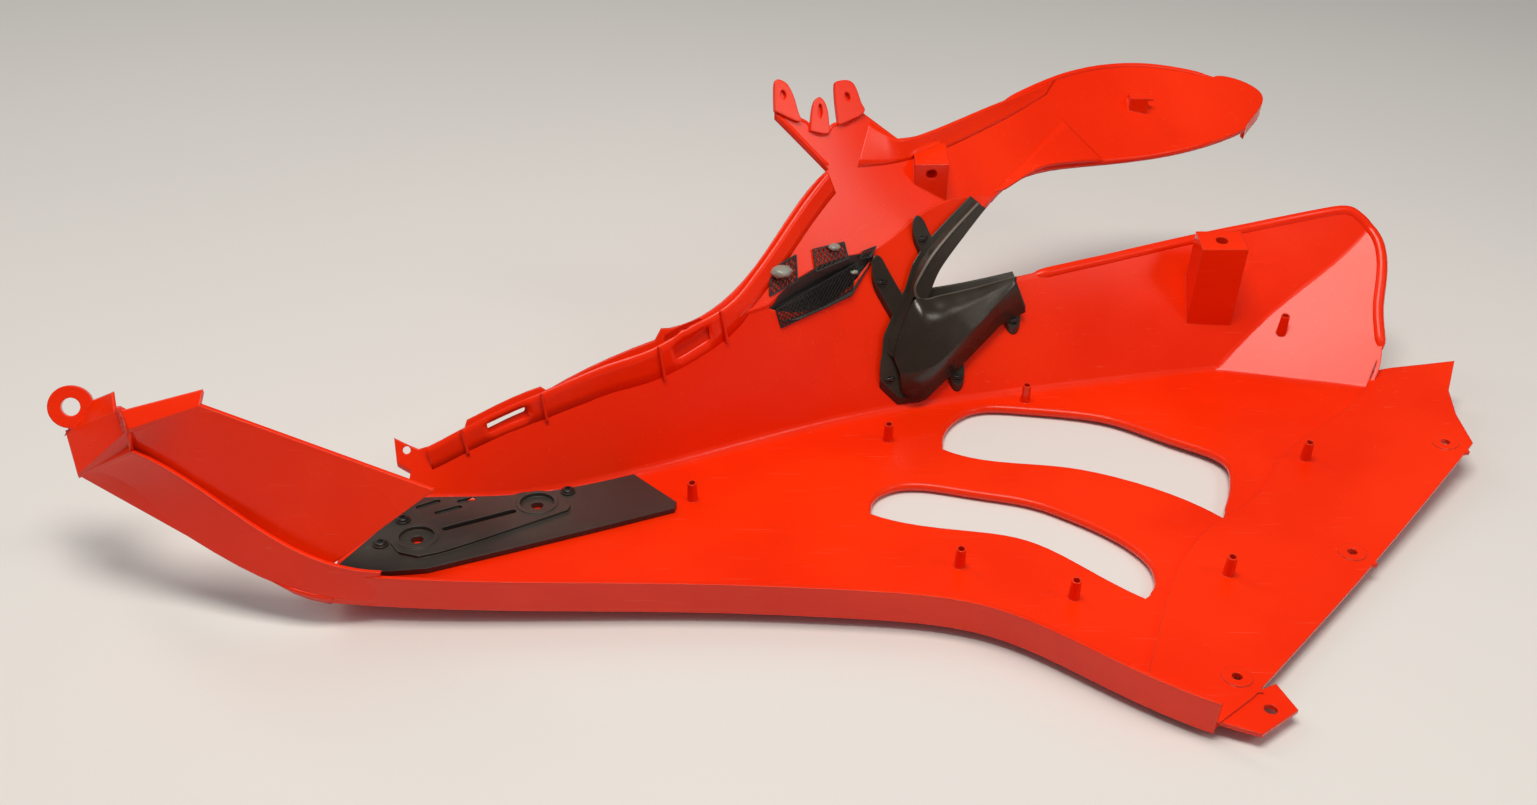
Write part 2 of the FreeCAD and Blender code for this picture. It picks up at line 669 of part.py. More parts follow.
def diamond(face, x, y, along):
    """A diamond-shaped cutting prism square to a skin face."""
    point, normal = drop(face, x, y)
    across = normal.cross(along).normalize()
    length, width = across.cross(normal) * (MESH_GAP_LENGTH / 2), across * (MESH_GAP_WIDTH / 2)
    corners = [point + length, point + width, point - length, point - width, point + length]
    front = Part.Face(Part.Wire(polyline(corners)))
    return front.translated(normal * -DRILL).extrude(normal * (2 * DRILL))


def mesh_leaf(face, outline):
    """One leaf of the mesh over a skin face."""
    return slab(face, SEAT, SEAT + MESH).common(polygon(outline))


def intake_mesh():
    """The lower leaf with its rows of diamond gaps and the two upper tabs, joined along the fold."""
    start, end = V(*MESH_FOLD[0], 0), V(*MESH_FOLD[-1], 0)
    along = (end - start).normalize()
    side = UP.cross(along)
    gaps = []
    for across, shift, count in MESH_GAP_ROWS:
        for i in range(count):
            foot = start + along * (MESH_GAPS_FROM + (i + shift) * MESH_PITCH) + side * across
            gaps.append(diamond(shoulder, foot.x, foot.y, along))
    lower = mesh_leaf(shoulder, MESH_FOLD + MESH_LOWER_LEAF).cut(gaps)
    front = mesh_leaf(brow, MESH_FRONT_ROOT + MESH_FRONT_TAB)
    rear = mesh_leaf(brow, MESH_REAR_ROOT + MESH_REAR_TAB)
    return lower.fuse([front, rear])


def screws(face, points, grip):
    """Pan-head screws through a fitted piece of the given thickness into the skin."""
    seat = SEAT + grip + SEAT
    made = []
    for x, y in points:
        head = boss(face, x, y, SCREW_HEAD, seat, seat + SCREW_HEAD_HEIGHT)
        shank = boss(face, x, y, SCREW_SHANK, -WALL, seat + SCREW_HEAD_HEIGHT / 2)
        made.append(head.fuse(shank))
    return Part.makeCompound(made)


def at_rest(shapes):
    """The shapes rolled to their rest, over the middle of their own footprint."""
    rolled = [shape.rotated(V(0, 0, 0), V(1, 0, 0), REST_ROLL) for shape in shapes]
    box = Part.makeCompound(rolled).optimalBoundingBox()
    shift = V(-(box.XMin + box.XMax) / 2, -(box.YMin + box.YMax) / 2, -box.ZMin)
    return [shape.translated(shift) for shape in rolled]


nodes = {
    "fairing_shell": fairing_shell(),
    "wing_mount_plate": wing_mount_plate(),
    "notch_trim": notch_trim(),
    "intake_mesh": intake_mesh(),
    "plate_screws": screws(floor, PLATE_SCREW_POINTS, PLATE),
    "trim_screws": screws(shoulder, TRIM_SCREW_POINTS, TRIM),
}

os.makedirs("parts", exist_ok=True)
for name, shape in zip(nodes, at_rest(nodes.values())):
    shape.exportStep("parts/%s.step" % name)
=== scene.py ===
"""Looks of the right-hand half of a motorcycle upper fairing, lying on its painted outer side."""

import json
import logging
import math
from dataclasses import dataclass
from enum import Enum
from typing import Sequence

import bmesh
import bpy
from mathutils import Matrix, Vector
from mathutils.bvhtree import BVHTree


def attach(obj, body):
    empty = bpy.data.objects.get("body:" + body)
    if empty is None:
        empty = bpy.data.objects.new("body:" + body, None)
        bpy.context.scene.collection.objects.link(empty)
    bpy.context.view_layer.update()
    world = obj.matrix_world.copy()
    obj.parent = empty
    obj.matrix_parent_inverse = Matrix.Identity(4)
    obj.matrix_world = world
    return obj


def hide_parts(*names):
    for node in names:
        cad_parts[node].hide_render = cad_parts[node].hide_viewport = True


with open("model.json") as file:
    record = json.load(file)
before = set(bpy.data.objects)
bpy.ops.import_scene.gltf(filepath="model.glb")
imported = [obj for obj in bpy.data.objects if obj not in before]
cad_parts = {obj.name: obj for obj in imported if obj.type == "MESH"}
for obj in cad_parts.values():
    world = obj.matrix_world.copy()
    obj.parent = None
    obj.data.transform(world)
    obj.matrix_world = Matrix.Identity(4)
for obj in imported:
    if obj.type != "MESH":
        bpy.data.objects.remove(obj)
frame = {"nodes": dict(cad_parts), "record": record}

LOG = logging.getLogger("fairing")
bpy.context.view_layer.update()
BODY = "root"
SHELL_NODE = "fairing_shell"
MM = 0.001
SHARP_ANGLE = math.radians(40)
BEVEL_SAMPLES = 6

Colour = tuple[float, float, float]
PlanPoint = tuple[float, float]
SpacePoint = tuple[float, float, float]
PlanLine = tuple[PlanPoint, ...]
SpaceLine = tuple[SpacePoint, ...]
Material = bpy.types.Material
Piece = bpy.types.Object
Form = bmesh.types.BMesh
Node = bpy.types.Node
Socket = bpy.types.NodeSocket
Fed = Socket | float | tuple


class Slot(Enum):
    """The names of the record's material slots; nothing in this script uses them."""

    SHELL = "red_shell"
    TRIM = "dark_trim"
    MESH = "black_mesh"
    SCREWS = "black_screws"


class ScrewHead(Enum):
    """The kinds of screw, each as (radius, height, lobe depth) of its rings from the shank up, in millimetres."""

    PAN = (
        (1.75, -5.5, 0.0), (1.75, 0.0, 0.0), (4.9, 0.0, 0.0), (5.0, 0.25, 0.0), (4.85, 0.7, 0.0), (3.9, 0.8, 0.0),
        (3.8, 1.5, 0.0), (3.4, 2.1, 0.0), (2.7, 2.35, 0.0), (1.8, 2.4, 0.22), (1.7, 1.1, 0.22), (0.4, 1.0, 0.05),
    )
    SUNK = (
        (1.75, -5.5, 0.0), (1.75, 0.0, 0.0), (5.0, 0.0, 0.0), (5.2, 0.6, 0.0), (5.1, 1.9, 0.0), (4.6, 2.4, 0.0),
        (3.9, 2.3, 0.0), (3.6, 1.0, 0.0), (3.2, 0.5, 0.0), (2.0, 0.9, 0.0), (1.7, 0.9, 0.22), (1.5, -0.6, 0.22),
        (0.4, -0.8, 0.05),
    )


@dataclass(frozen=True)
class MouldFrame:
    """The frame in which the fairing is drawn: X to the rear, Y up the bike, Z along the moulded posts.

    Attributes:
        roll: turn about X from this frame to the way the part rests, in degrees.
        anchor: the nose ring's centre in this frame, in millimetres.
        anchor_at_rest: the same centre in the row frame, in metres.
    """

    roll: float
    anchor: SpacePoint
    anchor_at_rest: SpacePoint

    def axis(self, x: float, y: float, z: float) -> Vector:
        """Turns a direction into the row frame.

        Args:
            x, y, z: the direction in the mould's frame.

        Returns:
            The direction in the row frame, of the same length.
        """
        return Matrix.Rotation(math.radians(self.roll), 3, "X") @ Vector((x, y, z))

    def point(self, x: float, y: float, z: float) -> Vector:
        """Moves a point into the row frame.

        Args:
            x, y, z: the point in the mould's frame, in millimetres.

        Returns:
            The point in the row frame, in metres.
        """
        offset = Vector((x, y, z)) - Vector(self.anchor)
        return Vector(self.anchor_at_rest) + self.axis(*offset) * MM


class SurfaceProbe:
    """Finds points on the face of a CAD node."""

    REACHES = (0.0, 2.0, 4.0, 7.0, 10.0, 14.0)
    TURNS = 12
    LEAST_LEAN = 0.15
    EDGE_STEPS = 20
    EDGE_STEP = 0.25
    EDGE_LEAN = 0.3

    def __init__(self, node: str, mould: MouldFrame) -> None:
        """Reads the node's faces.

        Args:
            node: the CAD node's name.
            mould: the frame in which plan points are given.
        """
        mesh = frame["nodes"][node].data
        corners = [v.co.copy() for v in mesh.vertices]
        self.tree = BVHTree.FromPolygons(corners, [tuple(p.vertices) for p in mesh.polygons])
        self.mould = mould
        self.draw = mould.axis(0, 0, 1)

    def above(self, x: float, y: float, height: float = 400.0) -> tuple[Vector, Vector]:
        """Drops a plan point onto the node along the mould's draw.

        Args:
            x, y: the plan point, in millimetres.
            height: where the drop starts, in millimetres.

        Returns:
            The point met first and the face's normal there.
        """
        point, normal, _, _ = self.tree.ray_cast(self.mould.point(x, y, height), -self.draw)
        if point is None:
            raise ValueError(f"nothing lies under the plan point {x}, {y}")
        return point, normal

    def over(self, x: float, y: float) -> tuple[Vector, Vector]:
        """Drops a plan point onto the node, or onto the face beside it where it misses.

        Args:
            x, y: the plan point, in millimetres.

        Returns:
            The point on the face or on its run-on, and the face's normal.
        """
        for reach in self.REACHES:
            for k in range(self.TURNS):
                angle = 2 * math.pi * k / self.TURNS
                try:
                    hit, normal = self.above(x + reach * math.cos(angle), y + reach * math.sin(angle))
                except ValueError:
                    continue
                if abs(normal.dot(self.draw)) >= self.LEAST_LEAN:
                    return self.level(x, y, hit, normal), normal
        raise ValueError(f"no face lies near the plan point {x}, {y}")

    def level(self, x: float, y: float, foot: Vector, normal: Vector) -> Vector:
        """Moves a plan point along the draw into a plane.

        Args:
            x, y: the plan point, in millimetres.
            foot, normal: a point of the plane and its normal.

        Returns:
            The point in the plane.
        """
        start = self.mould.point(x, y, 0.0)
        return start + self.draw * ((foot - start).dot(normal) / self.draw.dot(normal))

    def edge_shift(self, x: float, y: float, inwards: Vector) -> float:
        """Finds how far the face's edge lies from a plan point beside it.

        Args:
            x, y: the plan point, in millimetres.
            inwards: the plan direction onto the face.

        Returns:
            The distance along the direction, in millimetres, or 0 where no edge is near.
        """
        for step in range(-self.EDGE_STEPS, self.EDGE_STEPS + 1):
            shift = step * self.EDGE_STEP
            try:
                _, normal = self.above(x + inwards.x * shift, y + inwards.y * shift)
            except ValueError:
                continue
            if normal.dot(self.draw) > self.EDGE_LEAN:
                return 0.0 if step == -self.EDGE_STEPS else shift
        return 0.0


class Graph:
    """A node tree with short ways to add and link its nodes."""

    def __init__(self, tree: bpy.types.NodeTree) -> None:
        """Takes a tree.

        Args:
            tree: the tree to fill.
        """
        self.tree = tree

    def add(self, kind: str, inputs: dict[str | int, Fed] | None = None, **settings: object) -> Node:
        """Adds a node.

        Args:
            kind: the node's type.
            inputs: values or sockets for its inputs, by name or place.
            settings: its other properties.

        Returns:
            The node.
        """
        node = self.tree.nodes.new(kind)
        for name, value in settings.items():
            setattr(node, name, value)
        for key, value in (inputs or {}).items():
            self.feed(node.inputs[key], value)
        return node

    def feed(self, socket: Socket, value: Fed) -> None:
        """Links a socket to another, or sets its value.

        Args:
            socket: the input.
            value: an output socket, a number, a colour or a vector.
        """
        if isinstance(value, Socket):
            self.tree.links.new(value, socket)
        elif isinstance(value, tuple) and socket.type == "RGBA":
            socket.default_value = (*value, 1.0)
        else:
            socket.default_value = value

    def math(self, operation: str, first: Fed, second: Fed = 0.0) -> Socket:
        """Adds a sum of two values.

        Args:
            operation: the operation's name.
            first, second: sockets or numbers.

        Returns:
            The result's socket.
        """
        return self.add("ShaderNodeMath", {0: first, 1: second}, operation=operation).outputs[0]

    def dot(self, first: Fed, second: Fed) -> Socket:
        """Adds the dot product of two vectors.

        Args:
            first, second: sockets or vectors.

        Returns:
            The product's socket.
        """
        node = self.add("ShaderNodeVectorMath", {0: first, 1: second}, operation="DOT_PRODUCT")
        return node.outputs["Value"]

    def noise(self, place: Socket, scale: float, detail: float) -> Socket:
        """Adds a noise texture.

        Args:
            place: the coordinates.
            scale, detail: its fineness and its octaves.

        Returns:
            The noise's socket.
        """
        return self.add("ShaderNodeTexNoise", {"Vector": place, "Scale": scale, "Detail": detail}).outputs["Fac"]

    def specks(self, place: Socket, scale: float, size: PlanPoint, chance: PlanPoint) -> Socket:
        """Adds rare round specks.

        Args:
            place: the coordinates.
            scale: cells to the metre.
            size: where a speck starts and stops to fade, in cells.
            chance: the range over which a cell comes to hold a speck.

        Returns:
            The specks' mask.
        """
        cells = self.add("ShaderNodeTexVoronoi", {"Vector": place, "Scale": scale})
        near = self.span(cells.outputs["Distance"], *size, 1.0, 0.0)
        chosen = self.add("ShaderNodeTexWhiteNoise", {"Vector": cells.outputs["Position"]}).outputs["Value"]
        return self.math("MULTIPLY", near, self.span(chosen, *chance, 0.0, 1.0))

    def blend(self, factor: Fed, first: Fed, second: Fed) -> Socket:
        """Adds a mix of two colours.

        Args:
            factor: the share of the second colour.
            first, second: sockets or colours.

        Returns:
            The mixed colour's socket.
        """
        node = self.add("ShaderNodeMix", {0: factor, 6: first, 7: second}, data_type="RGBA")
        return node.outputs[2]

    def span(self, value: Fed, low: float, high: float, to_low: float, to_high: float) -> Socket:
        """Adds a clamped, eased change of range.

        Args:
            value: the socket to change.
            low, high: the range it has.
            to_low, to_high: the range it gets.

        Returns:
            The changed value's socket.
        """
        inputs = {"Value": value, "From Min": low, "From Max": high, "To Min": to_low, "To Max": to_high}
        return self.add("ShaderNodeMapRange", inputs, interpolation_type="SMOOTHSTEP").outputs["Result"]

    def rounded(self, radius: Fed) -> Socket:
        """Adds a normal that rounds the edges.

        Args:
            radius: the rounding, in metres.

        Returns:
            The normal's socket.
        """
        return self.add("ShaderNodeBevel", {"Radius": radius}, samples=BEVEL_SAMPLES).outputs["Normal"]

    def effect(self, effect: "Effect", inputs: dict[str | int, Fed] | None = None) -> Node:
        """Adds a shared effect.

        Args:
            effect: the effect.
            inputs: values for its inputs.

        Returns:
            The group node.
        """
        return self.add("ShaderNodeGroup", inputs, node_tree=effect.tree())


class Effect:
    """A shared shader node group that gives masks and heights.

    Attributes:
        name: the group's name.
        inputs: name and first value of each input.
        outputs: name of each output.
    """

    name: str = "effect"
    inputs: tuple[tuple[str, float], ...] = ()
    outputs: tuple[str, ...] = ()

    def tree(self) -> bpy.types.NodeTree:
        """Gives the group, made at its first use.

        Returns:
            The group's tree.
        """
        made = bpy.data.node_groups.get(self.name)
        if made:
            return made
        tree = bpy.data.node_groups.new(self.name, "ShaderNodeTree")
        for name, value in self.inputs:
            socket = tree.interface.new_socket(name, in_out="INPUT", socket_type="NodeSocketFloat")
            socket.default_value = value
        for name in self.outputs:
            tree.interface.new_socket(name, in_out="OUTPUT", socket_type="NodeSocketFloat")
        graph = Graph(tree)
        given = graph.add("NodeGroupInput")
        result = graph.add("NodeGroupOutput")
        for name, socket in self.fill(graph, given).items():
            graph.feed(result.inputs[name], socket)
        return tree

    def fill(self, graph: Graph, given: Node) -> dict[str, Socket]:
        """Adds the group's own nodes.

        Args:
            graph: the group's tree.
            given: its input node.

        Returns:
            The socket behind each output.
        """
        raise NotImplementedError


class SprayEffect(Effect):
    """Patches, orange peel, dust specks and hair scratches of a sprayed surface."""

    name = "sprayed surface"
    inputs = (("Specks", 0.5), ("Scratches", 0.5))
    outputs = ("Patches", "Peel", "Dust", "Hairs")

    def fill(self, graph: Graph, given: Node) -> dict[str, Socket]:
        """Adds noise for patches and peel, cells for dust and stretched noise for scratches.

        Args:
            graph: the group's tree.
            given: its input node.

        Returns:
            The socket behind each output.
        """
        place = graph.add("ShaderNodeTexCoord").outputs["Object"]
        dust = graph.specks(place, 150.0, (0.03, 0.10), (0.90, 0.94))
        stretch = {"Vector": place, "Rotation": (0.3, 0.2, 0.9), "Scale": (30.0, 900.0, 900.0)}
        turned = graph.add("ShaderNodeMapping", stretch).outputs["Vector"]
        hairs = graph.span(graph.noise(turned, 1.0, 0.0), 0.77, 0.83, 0.0, 1.0)
        return {
            "Patches": graph.noise(place, 7.0, 3.0),
            "Peel": graph.noise(place, 330.0, 1.0),
            "Dust": graph.math("MULTIPLY", dust, given.outputs["Specks"]),
            "Hairs": graph.math("MULTIPLY", hairs, given.outputs["Scratches"]),
        }


class GrainEffect(Effect):
    """Fine pits and cloudy handling marks of moulded plastic."""

    name = "moulded grain"
    inputs = (("Scale", 900.0),)
    outputs = ("Grain", "Clouds", "Lint")

    def fill(self, graph: Graph, given: Node) -> dict[str, Socket]:
        """Adds cells for the grain, noise for the clouds and rare bright cells for lint.

        Args:
            graph: the group's tree.
            given: its input node.

        Returns:
            The socket behind each output.
        """
        place = graph.add("ShaderNodeTexCoord").outputs["Object"]
        pits = graph.add("ShaderNodeTexVoronoi", {"Vector": place, "Scale": given.outputs["Scale"]})
        return {
            "Grain": pits.outputs["Distance"],
            "Clouds": graph.noise(place, 22.0, 4.0),
            "Lint": graph.specks(place, 95.0, (0.02, 0.07), (0.86, 0.90)),
        }


class EdgeEffect(Effect):
    """A mask along the edges, from the gap between the true and the rounded normal."""

    name = "rubbed edges"
    inputs = (("Radius", 0.0015),)
    outputs = ("Edge",)

    def fill(self, graph: Graph, given: Node) -> dict[str, Socket]:
        """Compares the rounded normal with the face's own.

        Args:
            graph: the group's tree.
            given: its input node.

        Returns:
            The socket behind each output.
        """
        plain = graph.add("ShaderNodeNewGeometry").outputs["Normal"]
        same = graph.dot(graph.rounded(given.outputs["Radius"]), plain)
        return {"Edge": graph.span(same, 0.995, 0.86, 0.0, 1.0)}


class InnerFaceEffect(Effect):
    """A mask of the faces that look along the mould's draw, to the inside of the fairing."""

    name = "inner face"
    outputs = ("Inner",)

    def __init__(self, draw: Vector) -> None:
        """Takes the draw.

        Args:
            draw: the mould's draw in the row frame.
        """
        self.draw = draw

    def fill(self, graph: Graph, given: Node) -> dict[str, Socket]:
        """Compares the face's normal with the draw.

        Args:
            graph: the group's tree.
            given: its input node.

        Returns:
            The socket behind each output.
        """
        plain = graph.add("ShaderNodeNewGeometry").outputs["Normal"]
        return {"Inner": graph.span(graph.dot(plain, tuple(self.draw)), 0.05, 0.30, 0.0, 1.0)}


def new_graph(name: str) -> tuple[Material, Graph, Node]:
    """Makes a material with a principled shader.

    Args:
        name: the material's name.

    Returns:
        The material, its graph and the shader.
    """
    material = bpy.data.materials.new(name)
    material.use_nodes = True
    material.node_tree.nodes.clear()
    graph = Graph(material.node_tree)
    shader = graph.add("ShaderNodeBsdfPrincipled")
    graph.add("ShaderNodeOutputMaterial", {"Surface": shader.outputs["BSDF"]})
    return material, graph, shader


@dataclass(frozen=True)
class PaintFinish:
    """Orange-red paint: satin on the inner faces, gloss on the outer faces and the lip.

    Attributes:
        name: the material's name.
        colour, deep: the paint's colour and that of its darker patches.
        pale: the colour of dust and scratches.
        inner_rough, outer_rough: roughness of the inner and the outer faces.
        inner_coat, outer_coat: weight of the clear coat on each.
        edge_radius: rounding of the moulded edges, in metres.
        draw: the mould's draw in the row frame.
        specks, scratches, rubbed: strength of dust, scratches and rubbed edges.
        coat_rough, ior, specular: the shader's other constants.
        peel: strength of the orange peel.
    """

    name: str
    colour: Colour
    deep: Colour
    pale: Colour
    inner_rough: float
    outer_rough: float
    inner_coat: float
    outer_coat: float
    edge_radius: float
    draw: Vector
    specks: float = 0.13
    scratches: float = 0.07
    rubbed_and_sheen: float = 0.07
    coat_rough: float = 0.12
    ior: float = 1.45
    specular: float = 0.27
    peel: float = 0.05

    def make(self) -> Material:
        """Makes the material.

        Returns:
            The material.
        """
        material, graph, shader = new_graph(self.name)
        spray = graph.effect(SprayEffect(), {"Specks": self.specks, "Scratches": self.scratches}).outputs
        inner = graph.effect(InnerFaceEffect(self.draw)).outputs["Inner"]
        edge = graph.effect(EdgeEffect(), {"Radius": self.edge_radius}).outputs["Edge"]
        tone = graph.blend(graph.span(spray["Patches"], 0.35, 0.65, 0.0, 1.0), self.deep, self.colour)
        worn = graph.math("MAXIMUM", spray["Dust"], spray["Hairs"])
        shade = graph.blend(worn, tone, self.pale)
        rubbed_and_sheen = graph.math("MULTIPLY", edge, self.rubbed_and_sheen)
        graph.feed(shader.inputs["Base Color"], graph.blend(rubbed_and_sheen, shade, self.pale))
        satin = graph.span(spray["Patches"], 0.3, 0.7, self.inner_rough - 0.05, self.inner_rough + 0.05)
        change = graph.math("MULTIPLY", inner, graph.math("SUBTRACT", satin, self.outer_rough))
        rough = graph.math("ADD", self.outer_rough, change)
        graph.feed(shader.inputs["Roughness"], graph.math("ADD", rough, graph.math("MULTIPLY", worn, 0.2)))
        graph.feed(shader.inputs["Coat Weight"], graph.span(inner, 0.0, 1.0, self.outer_coat, self.inner_coat))
        shader.inputs["Coat Roughness"].default_value = self.coat_rough
        shader.inputs["IOR"].default_value = self.ior
        shader.inputs["Specular IOR Level"].default_value = self.specular
        relief = graph.math("SUBTRACT", spray["Peel"], graph.math("MULTIPLY", spray["Hairs"], 2.0))
        rounded = graph.rounded(self.edge_radius)
        inputs = {"Height": relief, "Strength": self.peel, "Distance": 0.0006, "Normal": rounded}
        graph.feed(shader.inputs["Normal"], graph.add("ShaderNodeBump", inputs).outputs["Normal"])
        return material


@dataclass(frozen=True)
class PlasticFinish:
    """Moulded plastic or coated metal with a fine grain, clouds, lint and lighter edges, which are partly wear and
    partly a painted highlight.

    Attributes:
        name: the material's name.
        colour, cloud: its colour and that of its handling marks.
        edge: the colour of its lighter edges, partly wear and partly a painted highlight.
        rough: its roughness.
        grain: cells of the grain to the metre.
        relief: strength of the grain.
        edge_radius: rounding of its edges, in metres.
        metal: share of bare metal.
        lint: the colour of its lint.
    """

    name: str
    colour: Colour
    cloud: Colour
    edge: Colour
    rough: float
    grain: float
    relief: float
    edge_radius: float
    metal: float = 0.0
    lint: Colour = (0.35, 0.32, 0.29)

    def make(self) -> Material:
        """Makes the material.

        Returns:
            The material.
        """
        material, graph, shader = new_graph(self.name)
        grain = graph.effect(GrainEffect(), {"Scale": self.grain}).outputs
        edge = graph.effect(EdgeEffect(), {"Radius": self.edge_radius}).outputs["Edge"]
        tone = graph.blend(graph.span(grain["Clouds"], 0.35, 0.68, 0.0, 1.0), self.colour, self.cloud)
        # Edges blend towards the edge colour: partly wear, partly a painted highlight along the edges.
        rubbed_and_sheen = graph.blend(graph.math("MULTIPLY", edge, 0.5), tone, self.edge)
        linted = graph.blend(graph.math("MULTIPLY", grain["Lint"], 0.3), rubbed_and_sheen, self.lint)
        graph.feed(shader.inputs["Base Color"], linted)
        rough = graph.span(grain["Clouds"], 0.3, 0.7, self.rough - 0.06, self.rough + 0.06)
        graph.feed(shader.inputs["Roughness"], rough)
        shader.inputs["Metallic"].default_value = self.metal
        rounded = graph.rounded(self.edge_radius)
        inputs = {"Height": grain["Grain"], "Strength": self.relief, "Distance": 0.0004, "Normal": rounded}
        graph.feed(shader.inputs["Normal"], graph.add("ShaderNodeBump", inputs).outputs["Normal"])
        return material


@dataclass(frozen=True)
class GlueFinish:
    """Cloudy grey hot glue.

    Attributes:
        name: the material's name.
        colour, clear: its cloudy and its clearer parts.
        depth: how far light goes in, in metres.
    """

    name: str
    colour: Colour
    clear: Colour
    depth: SpacePoint = (0.003, 0.003, 0.002)

    def make(self) -> Material:
        """Makes the material.

        Returns:
            The material.
        """
        material, graph, shader = new_graph(self.name)
        clouds = graph.effect(GrainEffect(), {"Scale": 500.0}).outputs["Clouds"]
        graph.feed(shader.inputs["Base Color"], graph.blend(clouds, self.clear, self.colour))
        graph.feed(shader.inputs["Roughness"], graph.span(clouds, 0.3, 0.7, 0.22, 0.4))
        shader.inputs["Subsurface Weight"].default_value = 0.3
        shader.inputs["Subsurface Radius"].default_value = self.depth
        bump = graph.add("ShaderNodeBump", {"Height": clouds, "Strength": 0.3, "Distance": 0.001})
        graph.feed(shader.inputs["Normal"], bump.outputs["Normal"])
        return material


@dataclass(frozen=True)
class FloorFinish:
    """Plain pale floor.

    Attributes:
        name: the material's name.
        colour, other: its two close tones.
        rough: its roughness.
    """

    name: str
    colour: Colour
    other: Colour
    rough: float = 0.65

    def make(self) -> Material:
        """Makes the material.

        Returns:
            The material.
        """
        material, graph, shader = new_graph(self.name)
        place = graph.add("ShaderNodeTexCoord").outputs["Object"]
        tone = graph.blend(graph.noise(place, 1.6, 2.0), self.colour, self.other)
        graph.feed(shader.inputs["Base Color"], tone)
        shader.inputs["Roughness"].default_value = self.rough
        return material


def link_mesh(name: str, form: Form, material: Material) -> Piece:
    """Turns an edited mesh into a shown object.

    Args:
        name: the object's name.
        form: the mesh, which is freed.
        material: its finish.

    Returns:
        The object.
    """
    bmesh.ops.recalc_face_normals(form, faces=form.faces)
    mesh = bpy.data.meshes.new(name)
    form.to_mesh(mesh)
    form.free()
    mesh.materials.append(material)
    mesh.shade_smooth()
    mesh.set_sharp_from_angle(angle=SHARP_ANGLE)
    made = bpy.data.objects.new(name, mesh)
    bpy.context.scene.collection.objects.link(made)
    return made


def bridge(form: Form, loops: Sequence[Sequence[bmesh.types.BMVert]], closed: bool = False) -> None:
    """Joins rings of corners by faces.

    Args:
        form: the mesh to add to.
        loops: the rings, each with as many corners.
        closed: whether the last ring joins the first. If not, both are capped.
    """
    followers = [*loops[1:], loops[0]] if closed else loops[1:]
    for low, high in zip(loops, followers):
        for i in range(len(low)):
            j = (i + 1) % len(low)
            form.faces.new((low[i], low[j], high[j], high[i]))
    if not closed:
        form.faces.new(loops[0][::-1])
        form.faces.new(loops[-1])


def ring(form: Form, middle: Vector, axes: tuple[Vector, Vector], radii: Sequence[float]) -> list[bmesh.types.BMVert]:
    """Adds the corners of a ring.

    Args:
        form: the mesh to add to.
        middle: the ring's middle.
        axes: two unit axes of its plane.
        radii: the distance of each corner, in metres.

    Returns:
        The corners in order.
    """
    corners = []
    for i, radius in enumerate(radii):
        angle = 2 * math.pi * i / len(radii)
        around = axes[0] * math.cos(angle) + axes[1] * math.sin(angle)
        corners.append(form.verts.new(middle + around * radius))
    return corners


def turned_form(form: Form, foot: Vector, axis: Vector, rings: Sequence[SpacePoint], steps: int) -> None:
    """Adds a turned solid whose rings may have six lobes.

    Args:
        form: the mesh to add to.
        foot: the point on its axis at height zero.
        axis: its axis.
        rings: (radius, height, lobe depth) of each ring in metres, from bottom to top.
        steps: corners to a ring.
    """
    across = axis.orthogonal().normalized()
    axes = across, axis.cross(across).normalized()
    loops = []
    for radius, height, lobe in rings:
        radii = [radius + lobe * math.cos(6 * (2 * math.pi * i / steps)) for i in range(steps)]
        loops.append(ring(form, foot + axis * height, axes, radii))
    bridge(form, loops)


def swept_bar(form: Form, path: Sequence[Vector], normal: Vector, width: float, height: float) -> None:
    """Adds a bar of rectangular section along a path.

    Args:
        form: the mesh to add to.
        path: the middle of the bar.
        normal: the way its height lies.
        width, height: its section, in metres.
    """
    loops = []
    rise = normal * (height / 2)
    for i, here in enumerate(path):
        along = (path[min(i + 1, len(path) - 1)] - path[max(i - 1, 0)]).normalized()
        side = normal.cross(along).normalized() * (width / 2)
        offsets = (side + rise, -side + rise, -side - rise, side - rise)
        loops.append([form.verts.new(here + offset) for offset in offsets])
    bridge(form, loops)


def smooth_path(points: Sequence[PlanPoint], steps: int) -> list[PlanPoint]:
    """Gives a smooth path through plan points.

    Args:
        points: the points to pass.
        steps: parts of each leg.

    Returns:
        The points of the path.
    """
    ends = [points[0], *points, points[-1]]
    path = []
    for p0, p1, p2, p3 in zip(ends, ends[1:], ends[2:], ends[3:]):
        for i in range(steps):
            t = i / steps
            weights = (-t + 2 * t**2 - t**3, 2 - 5 * t**2 + 3 * t**3, t + 4 * t**2 - 3 * t**3, t**3 - t**2)
            legs = zip(weights, (p0, p1, p2, p3))
            sums = [(w * q[0] / 2, w * q[1] / 2) for w, q in legs]
            path.append((sum(a for a, _ in sums), sum(b for _, b in sums)))
    return path + [tuple(points[-1])]


def inset_path(path: Sequence[PlanPoint], width: float) -> list[PlanPoint]:
    """Moves a plan path to the right of its direction of travel.

    Args:
        path: the path.
        width: the distance, in millimetres.

    Returns:
        The moved path.
    """
    moved = []
    for i, (x, y) in enumerate(path):
        before, after = path[max(i - 1, 0)], path[min(i + 1, len(path) - 1)]
        along = Vector((after[0] - before[0], after[1] - before[1])).normalized()
        moved.append((x + along.y * width, y - along.x * width))
    return moved


def between(values: Sequence[float], place: float) -> float:
    """Gives the value at a place along a row of values.

    Args:
        values: the values, one to each whole place.
        place: from 0 to the last whole place.

    Returns:
        The value, in proportion between its neighbours.
    """
    low = min(int(place), len(values) - 2)
    share = place - low
    return values[low] * (1 - share) + values[low + 1] * share


